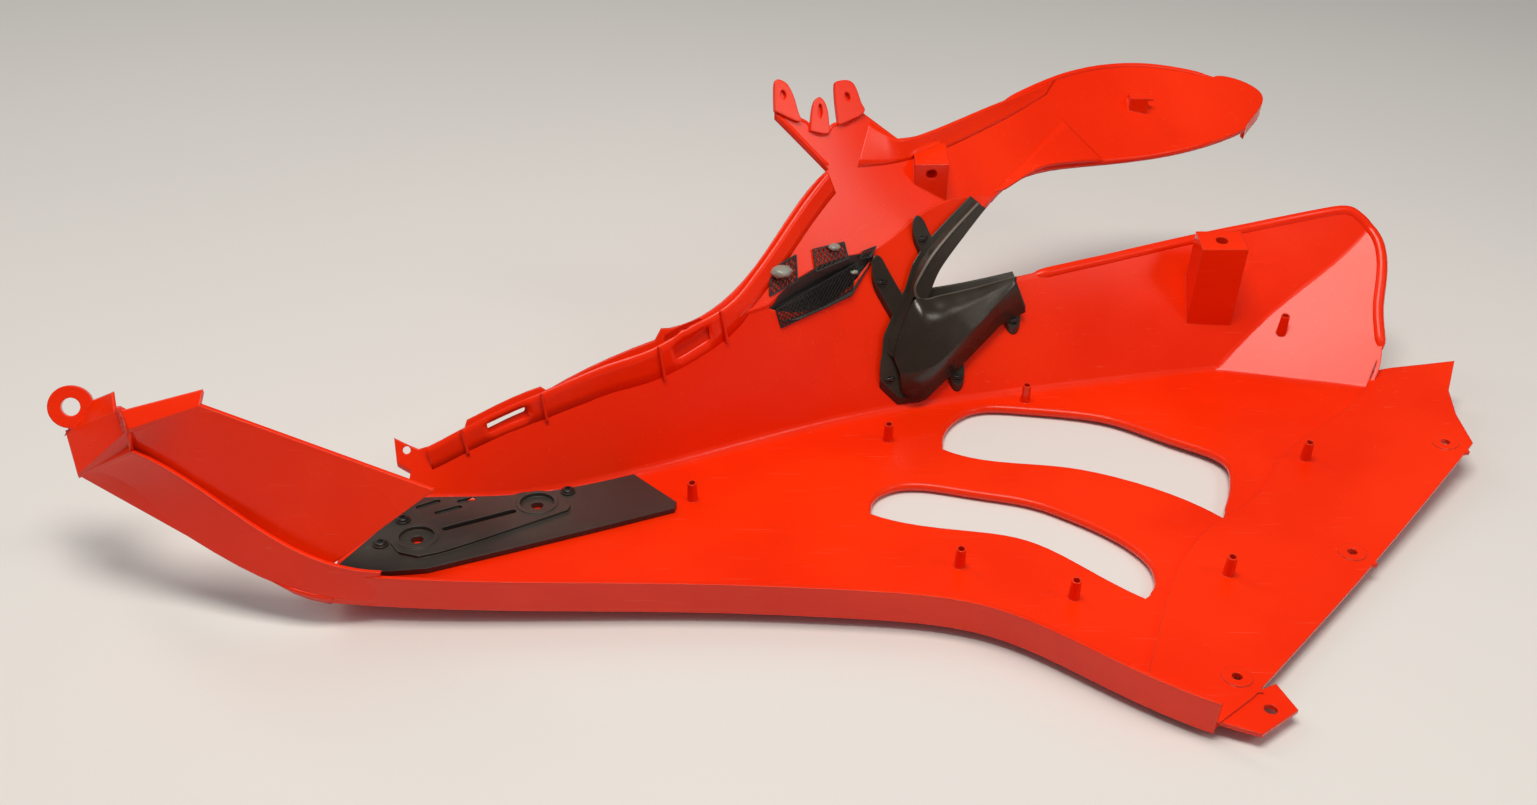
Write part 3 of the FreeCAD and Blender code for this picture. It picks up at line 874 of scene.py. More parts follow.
def eased(values: list, rounds: int) -> list:
    """Evens out a row of numbers or points between its ends.

    Args:
        values: the row.
        rounds: how often each is averaged with its neighbours.

    Returns:
        The evened row.
    """
    for _ in range(rounds):
        inner = [(a + b * 2 + c) / 4 for a, b, c in zip(values, values[1:], values[2:])]
        values = [values[0], *inner, values[-1]]
    return values


def patch_point(patch: Sequence[Vector], along: float, across: float) -> Vector:
    """Gives a point of a four-cornered patch.

    Args:
        patch: start and end of one side, then start and end of the opposite side.
        along, across: the shares of its length and of its breadth.

    Returns:
        The point.
    """
    return patch[0].lerp(patch[1], along).lerp(patch[2].lerp(patch[3], along), across)


def grid_form(rows: Sequence[Sequence[Vector]], gaps: set[tuple[int, int]] | None = None) -> Form:
    """Makes a sheet through rows of points.

    Args:
        rows: the rows, each with as many points.
        gaps: cells (row, place) that stay open.

    Returns:
        The sheet.
    """
    form = bmesh.new()
    verts = [[form.verts.new(p) for p in row] for row in rows]
    for r, (low, high) in enumerate(zip(verts, verts[1:])):
        for i in range(len(low) - 1):
            if (r, i) not in (gaps or set()):
                form.faces.new((low[i], low[i + 1], high[i + 1], high[i]))
    return form


def sharpen(piece: Piece, row: int, count: int) -> None:
    """Makes one row of a sheet a sharp crease.

    Args:
        piece: the sheet.
        row: the row's place.
        count: points to a row.
    """
    for edge in piece.data.edges:
        if all(v // count == row for v in edge.vertices):
            edge.use_edge_sharp = True


def thicken(piece: Piece, wall: float, offset: float = -1.0) -> None:
    """Gives a sheet its wall.

    Args:
        piece: the sheet.
        wall: its thickness, in metres.
        offset: -1 for a wall to the back, 0 for one to both sides.
    """
    solid = piece.modifiers.new("wall", "SOLIDIFY")
    solid.thickness = wall
    solid.offset = offset


@dataclass
class CadPiece:
    """A piece shown by its own CAD node.

    Attributes:
        node: the CAD node's name.
        finish: its material.
    """

    node: str
    finish: Material

    def dress(self) -> Piece:
        """Gives the node its finish.

        Returns:
            The node's object.
        """
        shown = frame["nodes"][self.node]
        shown.data.materials.clear()
        shown.data.materials.append(self.finish)
        return shown


@dataclass
class RolledRim:
    """A rolled edge of the shell, round where the skin turns outwards.

    Attributes:
        name: the piece's name.
        points: the edge in plan, in millimetres, with the skin on its right.
        radius: the roll's radius, in millimetres.
        inset: how far inside the edge the roll's middle runs, in millimetres.
        finish: its material.
        mould: the frame of the plan points.
        sink: depth of the roll's middle under the face, as a share of its radius.
        tip, gain: share of the radius at the roll's ends, and what each step inwards adds.
        sides, steps, rounds: corners round the roll, parts to each leg, and rounds of evening out.
    """

    name: str
    points: PlanLine
    radius: float
    inset: float
    finish: Material
    mould: MouldFrame
    sink: float = 0.62
    tip: float = 0.35
    gain: float = 0.25
    sides: int = 12
    steps: int = 10
    rounds: int = 4

    def path(self, probe: SurfaceProbe) -> list[PlanPoint]:
        """Gives the line of the roll's middle in plan.

        Args:
            probe: the shell's probe.

        Returns:
            The line, fitted to the true edge and eased.
        """
        rough = smooth_path(self.points, self.steps)
        beside = inset_path(rough, 1.0)
        inwards = [Vector((b[0] - a[0], b[1] - a[1])) for a, b in zip(rough, beside)]
        shifts = eased([probe.edge_shift(x, y, side) for (x, y), side in zip(rough, inwards)], self.rounds)
        return [
            (x + side.x * (shift + self.inset), y + side.y * (shift + self.inset))
            for (x, y), side, shift in zip(rough, inwards, shifts)
        ]

    def build(self) -> Piece:
        """Makes the roll in place, thinner at its ends.

        Returns:
            The roll.
        """
        probe = SurfaceProbe(SHELL_NODE, self.mould)
        seats = [probe.over(x, y) for x, y in self.path(probe)]
        middles = [point - normal * (self.radius * self.sink * MM) for point, normal in seats]
        loops = []
        form = bmesh.new()
        for i, (_, normal) in enumerate(seats):
            after, before = middles[min(i + 1, len(middles) - 1)], middles[max(i - 1, 0)]
            side = normal.cross((after - before).normalized()).normalized()
            ease = min(1.0, self.tip + self.gain * min(i, len(seats) - 1 - i))
            loops.append(ring(form, middles[i], (side, normal), [self.radius * ease * MM] * self.sides))
        bridge(form, loops)
        made = link_mesh(self.name, form, self.finish)
        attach(made, BODY)
        return made


@dataclass
class HeadlightFlange:
    """The turned-up flange along the headlight edge, with its clip slots and ribs.

    Attributes:
        finish: its material.
        mould: the frame of its plan points.
        edge: the edge in plan, in millimetres.
        rows: inset from the edge and height over the skin of each row, in millimetres.
        slots: start and end of each slot along X, in millimetres.
        slot_row: the row of cells that the slots open.
        ribs: place of each rib along X, in millimetres.
        rib: width and height of a rib, in millimetres.
        rib_lift: height of a rib's middle over the flange, in millimetres.
        seat, near: how far inside the edge the skin's slope is taken, in millimetres, and over how many
            points to each side it is averaged.
        steps, wall: parts to each leg, and the thickness in millimetres.
    """

    finish: Material
    mould: MouldFrame
    edge: PlanLine = (
        (-224.0, -108.0), (-198.0, -98.5), (-150.0, -82.5), (-112.0, -66.0), (-76.0, -49.0), (-33.0, -21.0),
        (-9.0, 3.5), (23.0, 46.0), (39.0, 66.0),
    )
    rows: PlanLine = ((0.8, 5.5), (3.6, 4.0), (7.6, 1.9), (12.0, -0.6))
    slots: PlanLine = ((-187.0, -161.0), (-69.0, -45.0))
    slot_row: int = 1
    ribs: tuple[float, ...] = (-200.0, -151.0, -77.0, -36.0)
    rib: PlanPoint = (1.8, 4.0)
    rib_lift: float = 0.6
    seat: float = 12.0
    near: int = 6
    steps: int = 14
    wall: float = 2.0

    def normals(self, probe: SurfaceProbe, path: Sequence[PlanPoint]) -> list[Vector]:
        """Gives the skin's evened slope along the edge.

        Args:
            probe: the shell's probe.
            path: the edge in plan.

        Returns:
            A normal to each point.
        """
        facing = [probe.over(x, y)[1] for x, y in inset_path(path, self.seat)]
        groups = [facing[max(i - self.near, 0) : i + self.near + 1] for i in range(len(facing))]
        return [sum(group, Vector((0, 0, 0))).normalized() for group in groups]

    def build(self) -> list[Piece]:
        """Makes the flange and its ribs in place.

        Returns:
            The flange and the ribs.
        """
        probe = SurfaceProbe(SHELL_NODE, self.mould)
        path = smooth_path(self.edge, self.steps)
        normals = self.normals(probe, path)
        rows = []
        for inset, height in self.rows:
            moved = zip(inset_path(path, inset), normals)
            rows.append([probe.over(x, y)[0] + normal * (height * MM) for (x, y), normal in moved])
        open_cells = [i for i, (x, _) in enumerate(path[:-1]) if any(low < x < high for low, high in self.slots)]
        gaps = {(self.slot_row, i) for i in open_cells}
        flange = link_mesh("headlight_flange", grid_form(rows, gaps), self.finish)
        thicken(flange, self.wall * MM)
        form = bmesh.new()
        for place in self.ribs:
            i = min(range(len(path)), key=lambda k: abs(path[k][0] - place))
            line = [end + normals[i] * (self.rib_lift * MM) for end in (rows[0][i], rows[-1][i])]
            swept_bar(form, line, normals[i], self.rib[0] * MM, self.rib[1] * MM)
        ribs = link_mesh("headlight_flange_ribs", form, self.finish)
        for piece in (flange, ribs):
            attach(piece, BODY)
        return [flange, ribs]


@dataclass
class TurnedFlange:
    """A face of the shell that turns up from a fold to an edge.

    Attributes:
        name: the piece's name.
        fold, edge: the two lines in plan, in millimetres, with as many points.
        rises: height of the edge over the skin at each point, in millimetres.
        finish: its material.
        mould: the frame of the plan points.
        shares: place of each row between fold and edge.
        lift, bow: height at the fold in millimetres, and the power by which the rise grows.
        steps, wall: parts to each leg, and the thickness in millimetres.
    """

    name: str
    fold: PlanLine
    edge: PlanLine
    rises: tuple[float, ...]
    finish: Material
    mould: MouldFrame
    shares: tuple[float, ...] = (0.0, 0.2, 0.45, 0.7, 0.9, 1.0)
    lift: float = 0.15
    bow: float = 1.4
    steps: int = 8
    wall: float = 2.2

    def build(self) -> Piece:
        """Makes the flange in place.

        Returns:
            The flange.
        """
        probe = SurfaceProbe(SHELL_NODE, self.mould)
        fold, edge = smooth_path(self.fold, self.steps), smooth_path(self.edge, self.steps)
        rows = []
        for share in self.shares:
            row = []
            for i, ((x0, y0), (x1, y1)) in enumerate(zip(fold, edge)):
                rise = between(self.rises, i / self.steps)
                point, normal = probe.over(x0 + (x1 - x0) * share, y0 + (y1 - y0) * share)
                row.append(point + normal * ((self.lift + rise * share**self.bow) * MM))
            rows.append(row)
        made = link_mesh(self.name, grid_form(rows), self.finish)
        thicken(made, self.wall * MM)
        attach(made, BODY)
        return made


@dataclass
class MouldedWeb:
    """A small web of the shell between two of its edges.

    Attributes:
        name: the piece's name.
        rows: its points in the mould's frame, in millimetres, with as many to each row.
        finish: its material.
        mould: the frame of the points.
        wall: its thickness, in millimetres.
    """

    name: str
    rows: tuple[SpaceLine, ...]
    finish: Material
    mould: MouldFrame
    wall: float = 2.4

    def build(self) -> Piece:
        """Makes the web in place.

        Returns:
            The web.
        """
        rows = [[self.mould.point(*p) for p in row] for row in self.rows]
        made = link_mesh(self.name, grid_form(rows), self.finish)
        thicken(made, self.wall * MM, 0.0)
        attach(made, BODY)
        return made


@dataclass(frozen=True)
class HornTab:
    """One tab of the horn.

    Attributes:
        outline: its outline in plan, in millimetres.
        hole: the middle of its hole.
        half: half the hole's width and height, in millimetres.
    """

    outline: PlanLine
    hole: PlanPoint
    half: PlanPoint


@dataclass
class HornTabs:
    """The three thin tabs on the horn, each with a hole.

    Attributes:
        finish: their material.
        mould: the frame of the plan points.
        tabs: the tabs.
        root: from an outline's first point to where the skin's slope is taken, in millimetres.
        front, back: height of their two faces over the skin, in millimetres.
        fine: parts to each leg of an outline.
    """

    finish: Material
    mould: MouldFrame
    tabs: tuple[HornTab, ...] = (
        HornTab(
            (
                (3.5, 83.0), (3.2, 90.0), (3.8, 97.5), (7.5, 99.5), (12.5, 99.0), (16.5, 95.0), (19.5, 89.0),
                (21.0, 84.0),
            ),
            (9.5, 93.0),
            (1.9, 2.2),
        ),
        HornTab(
            (
                (28.5, 82.5), (29.5, 92.0), (31.5, 98.5), (34.5, 101.5), (38.0, 101.0), (40.5, 97.5), (41.5, 92.0),
                (41.0, 86.0),
            ),
            (35.5, 95.0),
            (1.5, 3.6),
        ),
        HornTab(
            (
                (48.5, 93.0), (46.5, 103.0), (46.0, 112.5), (49.0, 115.5), (56.0, 118.5), (60.5, 117.5), (64.5, 111.5),
                (66.5, 106.5),
            ),
            (55.0, 110.0),
            (2.1, 2.1),
        ),
    )
    root: PlanPoint = (8.0, -6.0)
    front: float = 2.6
    back: float = -0.6
    fine: int = 4

    def build(self) -> Piece:
        """Makes the tabs in place.

        Returns:
            The tabs as one object.
        """
        probe = SurfaceProbe(SHELL_NODE, self.mould)
        form = bmesh.new()
        for tab in self.tabs:
            foot, normal = probe.over(tab.outline[0][0] + self.root[0], tab.outline[0][1] + self.root[1])
            outer = smooth_path(tab.outline + tab.outline[:1], self.fine)[:-1]
            inner = []
            for x, y in outer:
                angle = math.atan2(y - tab.hole[1], x - tab.hole[0])
                side, rise = tab.half[0] * math.cos(angle), tab.half[1] * math.sin(angle)
                inner.append((tab.hole[0] + side, tab.hole[1] + rise))
            loops = []
            for plan, height in ((outer, self.back), (outer, self.front), (inner, self.front), (inner, self.back)):
                lift = normal * (height * MM)
                loops.append([form.verts.new(probe.level(x, y, foot, normal) + lift) for x, y in plan])
            bridge(form, loops, closed=True)
        made = link_mesh("horn_tabs", form, self.finish)
        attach(made, BODY)
        return made


@dataclass
class TrimCover:
    """The faces of the notch trim: the wall round the notch, its rim, coloured lighter as wear and as a painted
    highlight, and the two faces that meet at a crease.

    Each line has plan points and heights over the skin, in millimetres.

    Attributes:
        finish: its material.
        rim: the material of the rim, lighter as wear and as a painted highlight.
        mould: the frame of its points.
        upper, crease, lower: the two faces' upper edge, crease and lower edge.
        wall_foot, wall_top: the wall's two edges.
        notch: the inner edge of the arm along the notch.
        rim_line: the middle of the rim.
        facing: the way the trim looks, in the mould's frame.
        hollow: how far the upper face sags, in millimetres.
        rim_width, rim_height: the rim's section, in millimetres.
        steps, rounds: parts to each leg, and rounds of evening out.
        wall: the faces' thickness, in millimetres.
    """

    finish: Material
    rim: Material
    mould: MouldFrame
    upper: SpaceLine = (
        (178.0, 61.5, 9.6), (163.0, 55.5, 9.6), (148.0, 49.5, 9.6), (134.0, 44.0, 9.6), (120.0, 38.5, 9.6),
        (111.0, 34.5, 9.6), (104.0, 33.0, 9.6), (99.5, 31.0, 9.6), (95.5, 24.5, 9.0), (91.5, 17.0, 8.0),
        (88.5, 10.5, 6.8), (87.5, 5.5, 5.6),
    )
    crease: SpaceLine = (
        (178.0, 58.5, 9.8), (168.0, 50.0, 10.6), (158.5, 42.0, 11.4), (150.0, 35.0, 12.0), (142.0, 29.0, 12.2),
        (134.0, 23.0, 12.0), (127.0, 17.5, 11.4), (119.5, 12.0, 10.4), (112.0, 8.0, 9.2), (105.0, 5.0, 8.0),
        (98.0, 3.0, 6.6), (92.5, 1.5, 5.4),
    )
    lower: SpaceLine = (
        (187.0, 47.0, 4.3), (179.0, 43.0, 4.3), (169.0, 38.0, 4.3), (160.0, 31.0, 4.3), (151.0, 24.0, 4.3),
        (142.0, 17.0, 4.3), (134.0, 11.2, 4.3), (126.0, 5.5, 4.3), (118.0, 0.0, 4.3), (110.0, -4.5, 4.3),
        (102.0, -6.0, 4.3), (95.0, -5.5, 4.3),
    )
    wall_foot: SpaceLine = (
        (147.0, 91.0, 3.9), (130.0, 73.5, 3.9), (113.0, 56.0, 3.9), (103.0, 43.0, 3.9), (98.0, 32.5, 3.9),
        (93.0, 24.5, 3.9), (88.5, 17.5, 3.9), (85.0, 11.0, 3.9), (83.5, 6.0, 3.9),
    )
    wall_top: SpaceLine = (
        (148.3, 90.2, 9.8), (131.2, 72.6, 9.8), (114.3, 55.0, 9.8), (104.4, 42.3, 9.8), (99.5, 32.0, 9.8),
        (95.5, 24.5, 9.0), (91.5, 17.0, 8.0), (88.5, 10.5, 6.8), (87.5, 5.5, 5.6),
    )
    notch: SpaceLine = (
        (154.5, 90.0, 9.5), (137.5, 70.5, 9.5), (120.5, 51.0, 9.5), (114.0, 40.5, 9.5), (110.5, 34.5, 9.5),
    )
    rim_line: SpaceLine = (
        (148.5, 90.2, 9.7), (131.2, 72.6, 9.7), (114.3, 55.0, 9.7), (104.6, 42.3, 9.7), (100.4, 35.5, 9.7),
        (103.5, 32.6, 9.7), (111.0, 34.4, 9.7), (120.0, 38.3, 9.7), (148.0, 49.3, 9.7), (178.0, 61.0, 9.7),
    )
    facing: SpacePoint = (0.0, -0.6, 0.8)
    hollow: float = 1.2
    rim_width: float = 1.8
    rim_height: float = 1.4
    steps: int = 6
    rounds: int = 3
    wall: float = 1.5

    def row(self, probe: SurfaceProbe, points: SpaceLine) -> list[Vector]:
        """Gives a smooth row of points over the shoulder.

        Args:
            probe: the shell's probe.
            points: plan point and height over the skin of each, in millimetres.

        Returns:
            The row in the row frame.
        """
        heights = [z for _, _, z in points]
        made = []
        for i, (x, y) in enumerate(smooth_path([(x, y) for x, y, _ in points], self.steps)):
            point, normal = probe.over(x, y)
            made.append(point + normal * (between(heights, i / self.steps) * MM))
        return eased(made, self.rounds)

    def build(self) -> list[Piece]:
        """Makes the faces and the rim in place.

        Returns:
            The faces, the wall, the arm and the rim.
        """
        probe = SurfaceProbe(SHELL_NODE, self.mould)
        facing = self.mould.axis(*self.facing)
        upper, crease, lower = (self.row(probe, points) for points in (self.upper, self.crease, self.lower))
        hollow = [a.lerp(b, 0.5) - facing * (self.hollow * MM) for a, b in zip(upper, crease)]
        faces = link_mesh("notch_trim_faces", grid_form([upper, hollow, crease, lower]), self.finish)
        sharpen(faces, 2, len(upper))
        thicken(faces, self.wall * MM)
        foot, top, notch = (self.row(probe, points) for points in (self.wall_foot, self.wall_top, self.notch))
        wall = link_mesh("notch_trim_wall", grid_form([foot, top]), self.finish)
        arm = link_mesh("notch_trim_arm", grid_form([top[: len(notch)], notch]), self.finish)
        form = bmesh.new()
        swept_bar(form, self.row(probe, self.rim_line), facing, self.rim_width * MM, self.rim_height * MM)
        rim = link_mesh("notch_trim_rim", form, self.rim)
        for piece in (faces, wall, arm, rim):
            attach(piece, BODY)
        return [faces, wall, arm, rim]


@dataclass
class ScrewSet:
    """The screws of one fitted piece.

    Attributes:
        node: the CAD node that they stand for.
        points: their plan points, in millimetres.
        head: their kind.
        finish: their material.
        mould: the frame of the plan points.
        cad_head: height of the CAD head, in millimetres.
        sides: corners round a screw.
    """

    node: str
    points: PlanLine
    head: ScrewHead
    finish: Material
    mould: MouldFrame
    cad_head: float = 2.4
    sides: int = 30

    def build(self) -> Piece:
        """Makes the screws in place.

        Returns:
            The screws as one object.
        """
        probe = SurfaceProbe(self.node, self.mould)
        form = bmesh.new()
        rings = [(r * MM, h * MM, lobe * MM) for r, h, lobe in self.head.value]
        for x, y in self.points:
            top, axis = probe.above(x, y)
            turned_form(form, top - axis * (self.cad_head * MM), axis, rings, self.sides)
        made = link_mesh(self.node + "_looks", form, self.finish)
        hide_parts(self.node)
        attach(made, BODY)
        return made


@dataclass
class IntakeMesh:
    """The folded leaf of expanded metal behind the lens-shaped slot, with its blobs of glue and a dark sheet of close
    strands across the slot, which is painted shade.

    Points are in the mould's frame, in millimetres.

    Attributes:
        finish, glue: the materials of the metal and of the glue.
        mould: the frame of its points.
        leaves: fold start, fold end, edge start and edge end of each leaf.
        blobs: middle and radius of each blob of glue.
        lumps, lump_pitch, squash: a blob's unevenness, its waves to the metre along X and Y, and its
            shares along Y and Z.
        dip_low, dip_high: the slot's lower and upper edge.
        dip_rows: place of each long strand between the two.
        dip_way, dip_depth: the way the strands dip, and how far.
        dip_bends, dip_swing: where a strand bends, and how much deeper each second one lies.
        dip_pitch, dip_steps: strands across, one to so many millimetres, and the parts of a long strand.
        facing: the way the slot looks.
        long_way, short_way: a diamond's length and breadth.
        strand, thick: a strand's width and thickness.
    """

    finish: Material
    glue: Material
    mould: MouldFrame
    leaves: tuple[SpaceLine, ...] = (
        ((5.0, -9.5, 91.0), (62.0, 29.5, 103.0), (9.0, -14.0, 79.0), (58.0, 16.0, 84.5)),
        ((1.0, -7.0, 101.0), (20.0, 5.5, 104.5), (1.0, 5.0, 114.5), (19.0, 18.0, 118.0)),
        ((33.0, 14.0, 106.5), (56.0, 27.5, 108.5), (31.0, 24.0, 118.5), (53.0, 36.0, 116.5)),
        ((64.0, 31.0, 106.0), (72.0, 34.0, 105.0), (67.0, 35.0, 109.5), (76.0, 41.0, 109.5)),
    )
    blobs: tuple[tuple[float, float, float, float], ...] = (
        (8.0, 6.0, 112.5, 8.0), (46.0, 30.0, 116.5, 4.5), (60.0, 26.0, 98.0, 3.0),
    )
    lumps: float = 0.16
    lump_pitch: PlanPoint = (900.0, 700.0)
    squash: PlanPoint = (0.9, 0.5)
    dip_low: SpaceLine = (
        (1.0, -14.0, 82.0), (22.0, -7.0, 81.0), (42.0, 5.0, 83.0), (59.0, 15.0, 86.0), (73.0, 34.0, 101.0),
    )
    dip_high: SpaceLine = (
        (1.0, -8.5, 97.0), (18.0, 6.0, 104.5), (36.0, 18.0, 108.5), (56.0, 29.5, 109.0), (74.0, 38.0, 106.0),
    )
    dip_rows: tuple[float, ...] = (0.14, 0.3, 0.43, 0.57, 0.7, 0.86)
    dip_way: SpacePoint = (0.2, 0.62, -0.76)
    dip_depth: float = 7.0
    dip_bends: PlanPoint = (0.3, 0.7)
    dip_swing: float = 0.25
    dip_pitch: float = 1.05
    dip_steps: int = 24
    facing: SpacePoint = (0.0, -0.6, 0.8)
    long_way: float = 3.6
    short_way: float = 2.3
    strand: float = 0.85
    thick: float = 0.9

    def leaf(self, form: Form, corners: SpaceLine) -> None:
        """Adds one leaf of diamond lattice over a four-cornered patch.

        Args:
            form: the mesh to add to.
            corners: fold start, fold end, edge start and edge end, in millimetres.
        """
        patch = a, b, c, d = [self.mould.point(*p) for p in corners]
        normal = (b - a).cross(c - a).normalized()
        length = ((b - a).length + (d - c).length) / 2
        breadth = ((c - a).length + (d - b).length) / 2
        columns = max(4, round(length / (self.long_way * MM)) * 2)
        rows = max(3, round(breadth / (self.short_way * MM)))
        for row in range(rows):
            path = []
            for i in range(columns + 1):
                across = row + (i + row) % 2
                path.append(patch_point(patch, i / columns, min(max(across / rows, 0.0), 1.0)))
            swept_bar(form, path, normal, self.strand * MM, self.thick * MM)
        rim = [patch_point(patch, s, t) for s, t in ((0, 0), (1, 0), (1, 1), (0, 1), (0, 0))]
        for start, end in zip(rim, rim[1:]):
            swept_bar(form, (start, end), normal, self.strand * MM, self.thick * MM)

    def along(self, line: SpaceLine, share: float) -> Vector:
        """Gives the point at a share of a line's legs.

        Args:
            line: the line's points, in millimetres.
            share: from 0 at its start to 1 at its end.

        Returns:
            The point in the row frame.
        """
        place = min(share * (len(line) - 1), len(line) - 1.001)
        low = int(place)
        return self.mould.point(*line[low]).lerp(self.mould.point(*line[low + 1]), place - low)

    def dip(self, form: Form) -> None:
        """Adds the strands that dip through the slot between the leaves, so close that they overlap into a dark sheet:
        painted shade for the space behind the slot.

        Args:
            form: the mesh to add to.
        """
        run = self.along(self.dip_low, 1.0) - self.along(self.dip_low, 0.0)
        count = int(run.length / (self.dip_pitch * MM))
        back = self.mould.axis(*self.dip_way) * (self.dip_depth * MM)
        # Strands closer together than their own width overlap into a near-solid dark sheet, a painted shade behind the
        # slot.
        for i in range(2 * count + 1):
            share = i / (2 * count)
            low, high = self.along(self.dip_low, share), self.along(self.dip_high, share)
            depth = back * (math.sin(math.pi * share) ** 0.5 * (1.0 + self.dip_swing * (i % 2)))
            path = [low, *(low.lerp(high, bend) + depth for bend in self.dip_bends), high]
            swept_bar(form, path, run.normalized(), self.thick * MM, self.strand * MM)
        for rise in self.dip_rows:
            path = []
            for i in range(self.dip_steps + 1):
                share = i / self.dip_steps
                depth = back * math.sin(math.pi * share) ** 0.5
                path.append(self.along(self.dip_low, share).lerp(self.along(self.dip_high, share), rise) + depth)
            swept_bar(form, path, self.mould.axis(*self.facing), self.strand * MM, self.thick * MM)

    def glue_form(self) -> Form:
        """Makes the blobs of glue.

        Returns:
            The blobs.
        """
        form = bmesh.new()
        for x, y, z, size in self.blobs:
            middle = self.mould.point(x, y, z)
            for vert in bmesh.ops.create_icosphere(form, subdivisions=3, radius=size * MM)["verts"]:
                dx, dy, dz = vert.co
                wave = 1 + self.lumps * math.sin(dx * self.lump_pitch[0]) * math.cos(dy * self.lump_pitch[1])
                vert.co = middle + Vector((dx * wave, dy * wave * self.squash[0], dz * self.squash[1]))
        return form

    def build(self) -> list[Piece]:
        """Makes the leaves, the dark sheet of strands across the slot and the glue in place.

        Returns:
            The metal and the glue.
        """
        form = bmesh.new()
        for corners in self.leaves:
            self.leaf(form, corners)
        self.dip(form)
        metal = link_mesh("intake_mesh_and_shade_sheet", form, self.finish)
        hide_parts("intake_mesh")
        glue = link_mesh("glue_blobs", self.glue_form(), self.glue)
        for piece in (metal, glue):
            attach(piece, BODY)
        return [metal, glue]


@dataclass(frozen=True)
class Lamp:
    """A soft lamp.

    Attributes:
        name: its name.
        place: where it hangs, in metres.
        width, depth: its size, in metres.
        power: in watts.
    """

    name: str
    place: SpacePoint
    width: float
    depth: float
    power: float


@dataclass
class Studio:
    """Pale floor, soft lights and the camera at the photo's angle.

    Attributes:
        mould: the frame in which the camera stands.
        floor: the floor's finish.
        reach: half the floor's breadth, in metres.
        lamps, aim, tint: the lamps, the point that they look at, and their colour.
        sky: the world's colour.
        ambient, mirrored, backdrop: its strength as light, in reflections and as seen behind the part.
        eye, pitch: the camera's place in millimetres, and its angle down in degrees, in the mould's frame.
        lens, sensor: in millimetres.
    """

    mould: MouldFrame
    floor: Material
    reach: float = 6.0
    lamps: tuple[Lamp, ...] = (
        Lamp("ceiling", (-0.06, -0.40, 2.0), 1.1, 0.65, 32.0),
        Lamp("window", (1.45, -0.80, 1.35), 0.45, 0.45, 4.5),
        Lamp("strip", (-1.5, 1.1, 1.7), 0.5, 1.6, 8.0),
    )
    aim: SpacePoint = (0.0, 0.0, 0.08)
    tint: Colour = (1.0, 0.92, 0.82)
    sky: Colour = (0.97, 0.98, 1.0)
    ambient: float = 0.26
    mirrored: float = 0.06
    backdrop: float = 0.72
    eye: SpacePoint = (0.0, -843.0, 707.0)
    pitch: float = 40.0
    lens: float = 35.13
    sensor: float = 36.0

    def lay_floor(self) -> Piece:
        """Makes the floor.

        Returns:
            The floor.
        """
        form = bmesh.new()
        bmesh.ops.create_grid(form, x_segments=8, y_segments=8, size=self.reach)
        ground = link_mesh("studio_floor", form, self.floor)
        return ground

    def hang(self, lamp: Lamp) -> Piece:
        """Makes a lamp.

        Args:
            lamp: the lamp's sizes.

        Returns:
            The lamp.
        """
        light = bpy.data.lights.new(lamp.name, "AREA")
        light.shape = "RECTANGLE"
        light.size, light.size_y = lamp.width, lamp.depth
        light.energy = lamp.power
        light.color = self.tint
        shown = bpy.data.objects.new(lamp.name, light)
        shown.location = lamp.place
        shown.rotation_euler = (Vector(lamp.place) - Vector(self.aim)).to_track_quat("Z", "Y").to_euler()
        bpy.context.scene.collection.objects.link(shown)
        return shown

    def light_sky(self) -> None:
        """Makes the world, dim in reflections and pale behind the part."""
        world = bpy.data.worlds.new("studio")
        world.use_nodes = True
        graph = Graph(world.node_tree)
        back = world.node_tree.nodes["Background"]
        graph.feed(back.inputs["Color"], self.sky)
        rays = graph.add("ShaderNodeLightPath").outputs
        dim = graph.math("MULTIPLY", rays["Is Glossy Ray"], self.mirrored - self.ambient)
        pale = graph.math("MULTIPLY", rays["Is Camera Ray"], self.backdrop - self.ambient)
        graph.feed(back.inputs["Strength"], graph.math("ADD", graph.math("ADD", dim, pale), self.ambient))
        bpy.context.scene.world = world

    def place_camera(self) -> Piece:
        """Makes the camera.

        Returns:
            The camera.
        """
        lens = bpy.data.cameras.new("photo_camera")
        lens.sensor_width = self.sensor
        lens.lens = self.lens
        camera = bpy.data.objects.new("photo_camera", lens)
        camera.location = self.mould.point(*self.eye)
        camera.rotation_euler = (math.radians(90 - self.pitch + self.mould.roll), 0.0, 0.0)
        bpy.context.scene.collection.objects.link(camera)
        bpy.context.scene.camera = camera
        bpy.context.scene.view_settings.view_transform = "Standard"
        return camera

    def build(self) -> list[Piece]:
        """Makes floor, lamps, world and camera.

        Returns:
            The floor, the lamps and the camera.
        """
        made = [self.lay_floor(), *(self.hang(lamp) for lamp in self.lamps)]
        self.light_sky()
        return [*made, self.place_camera()]


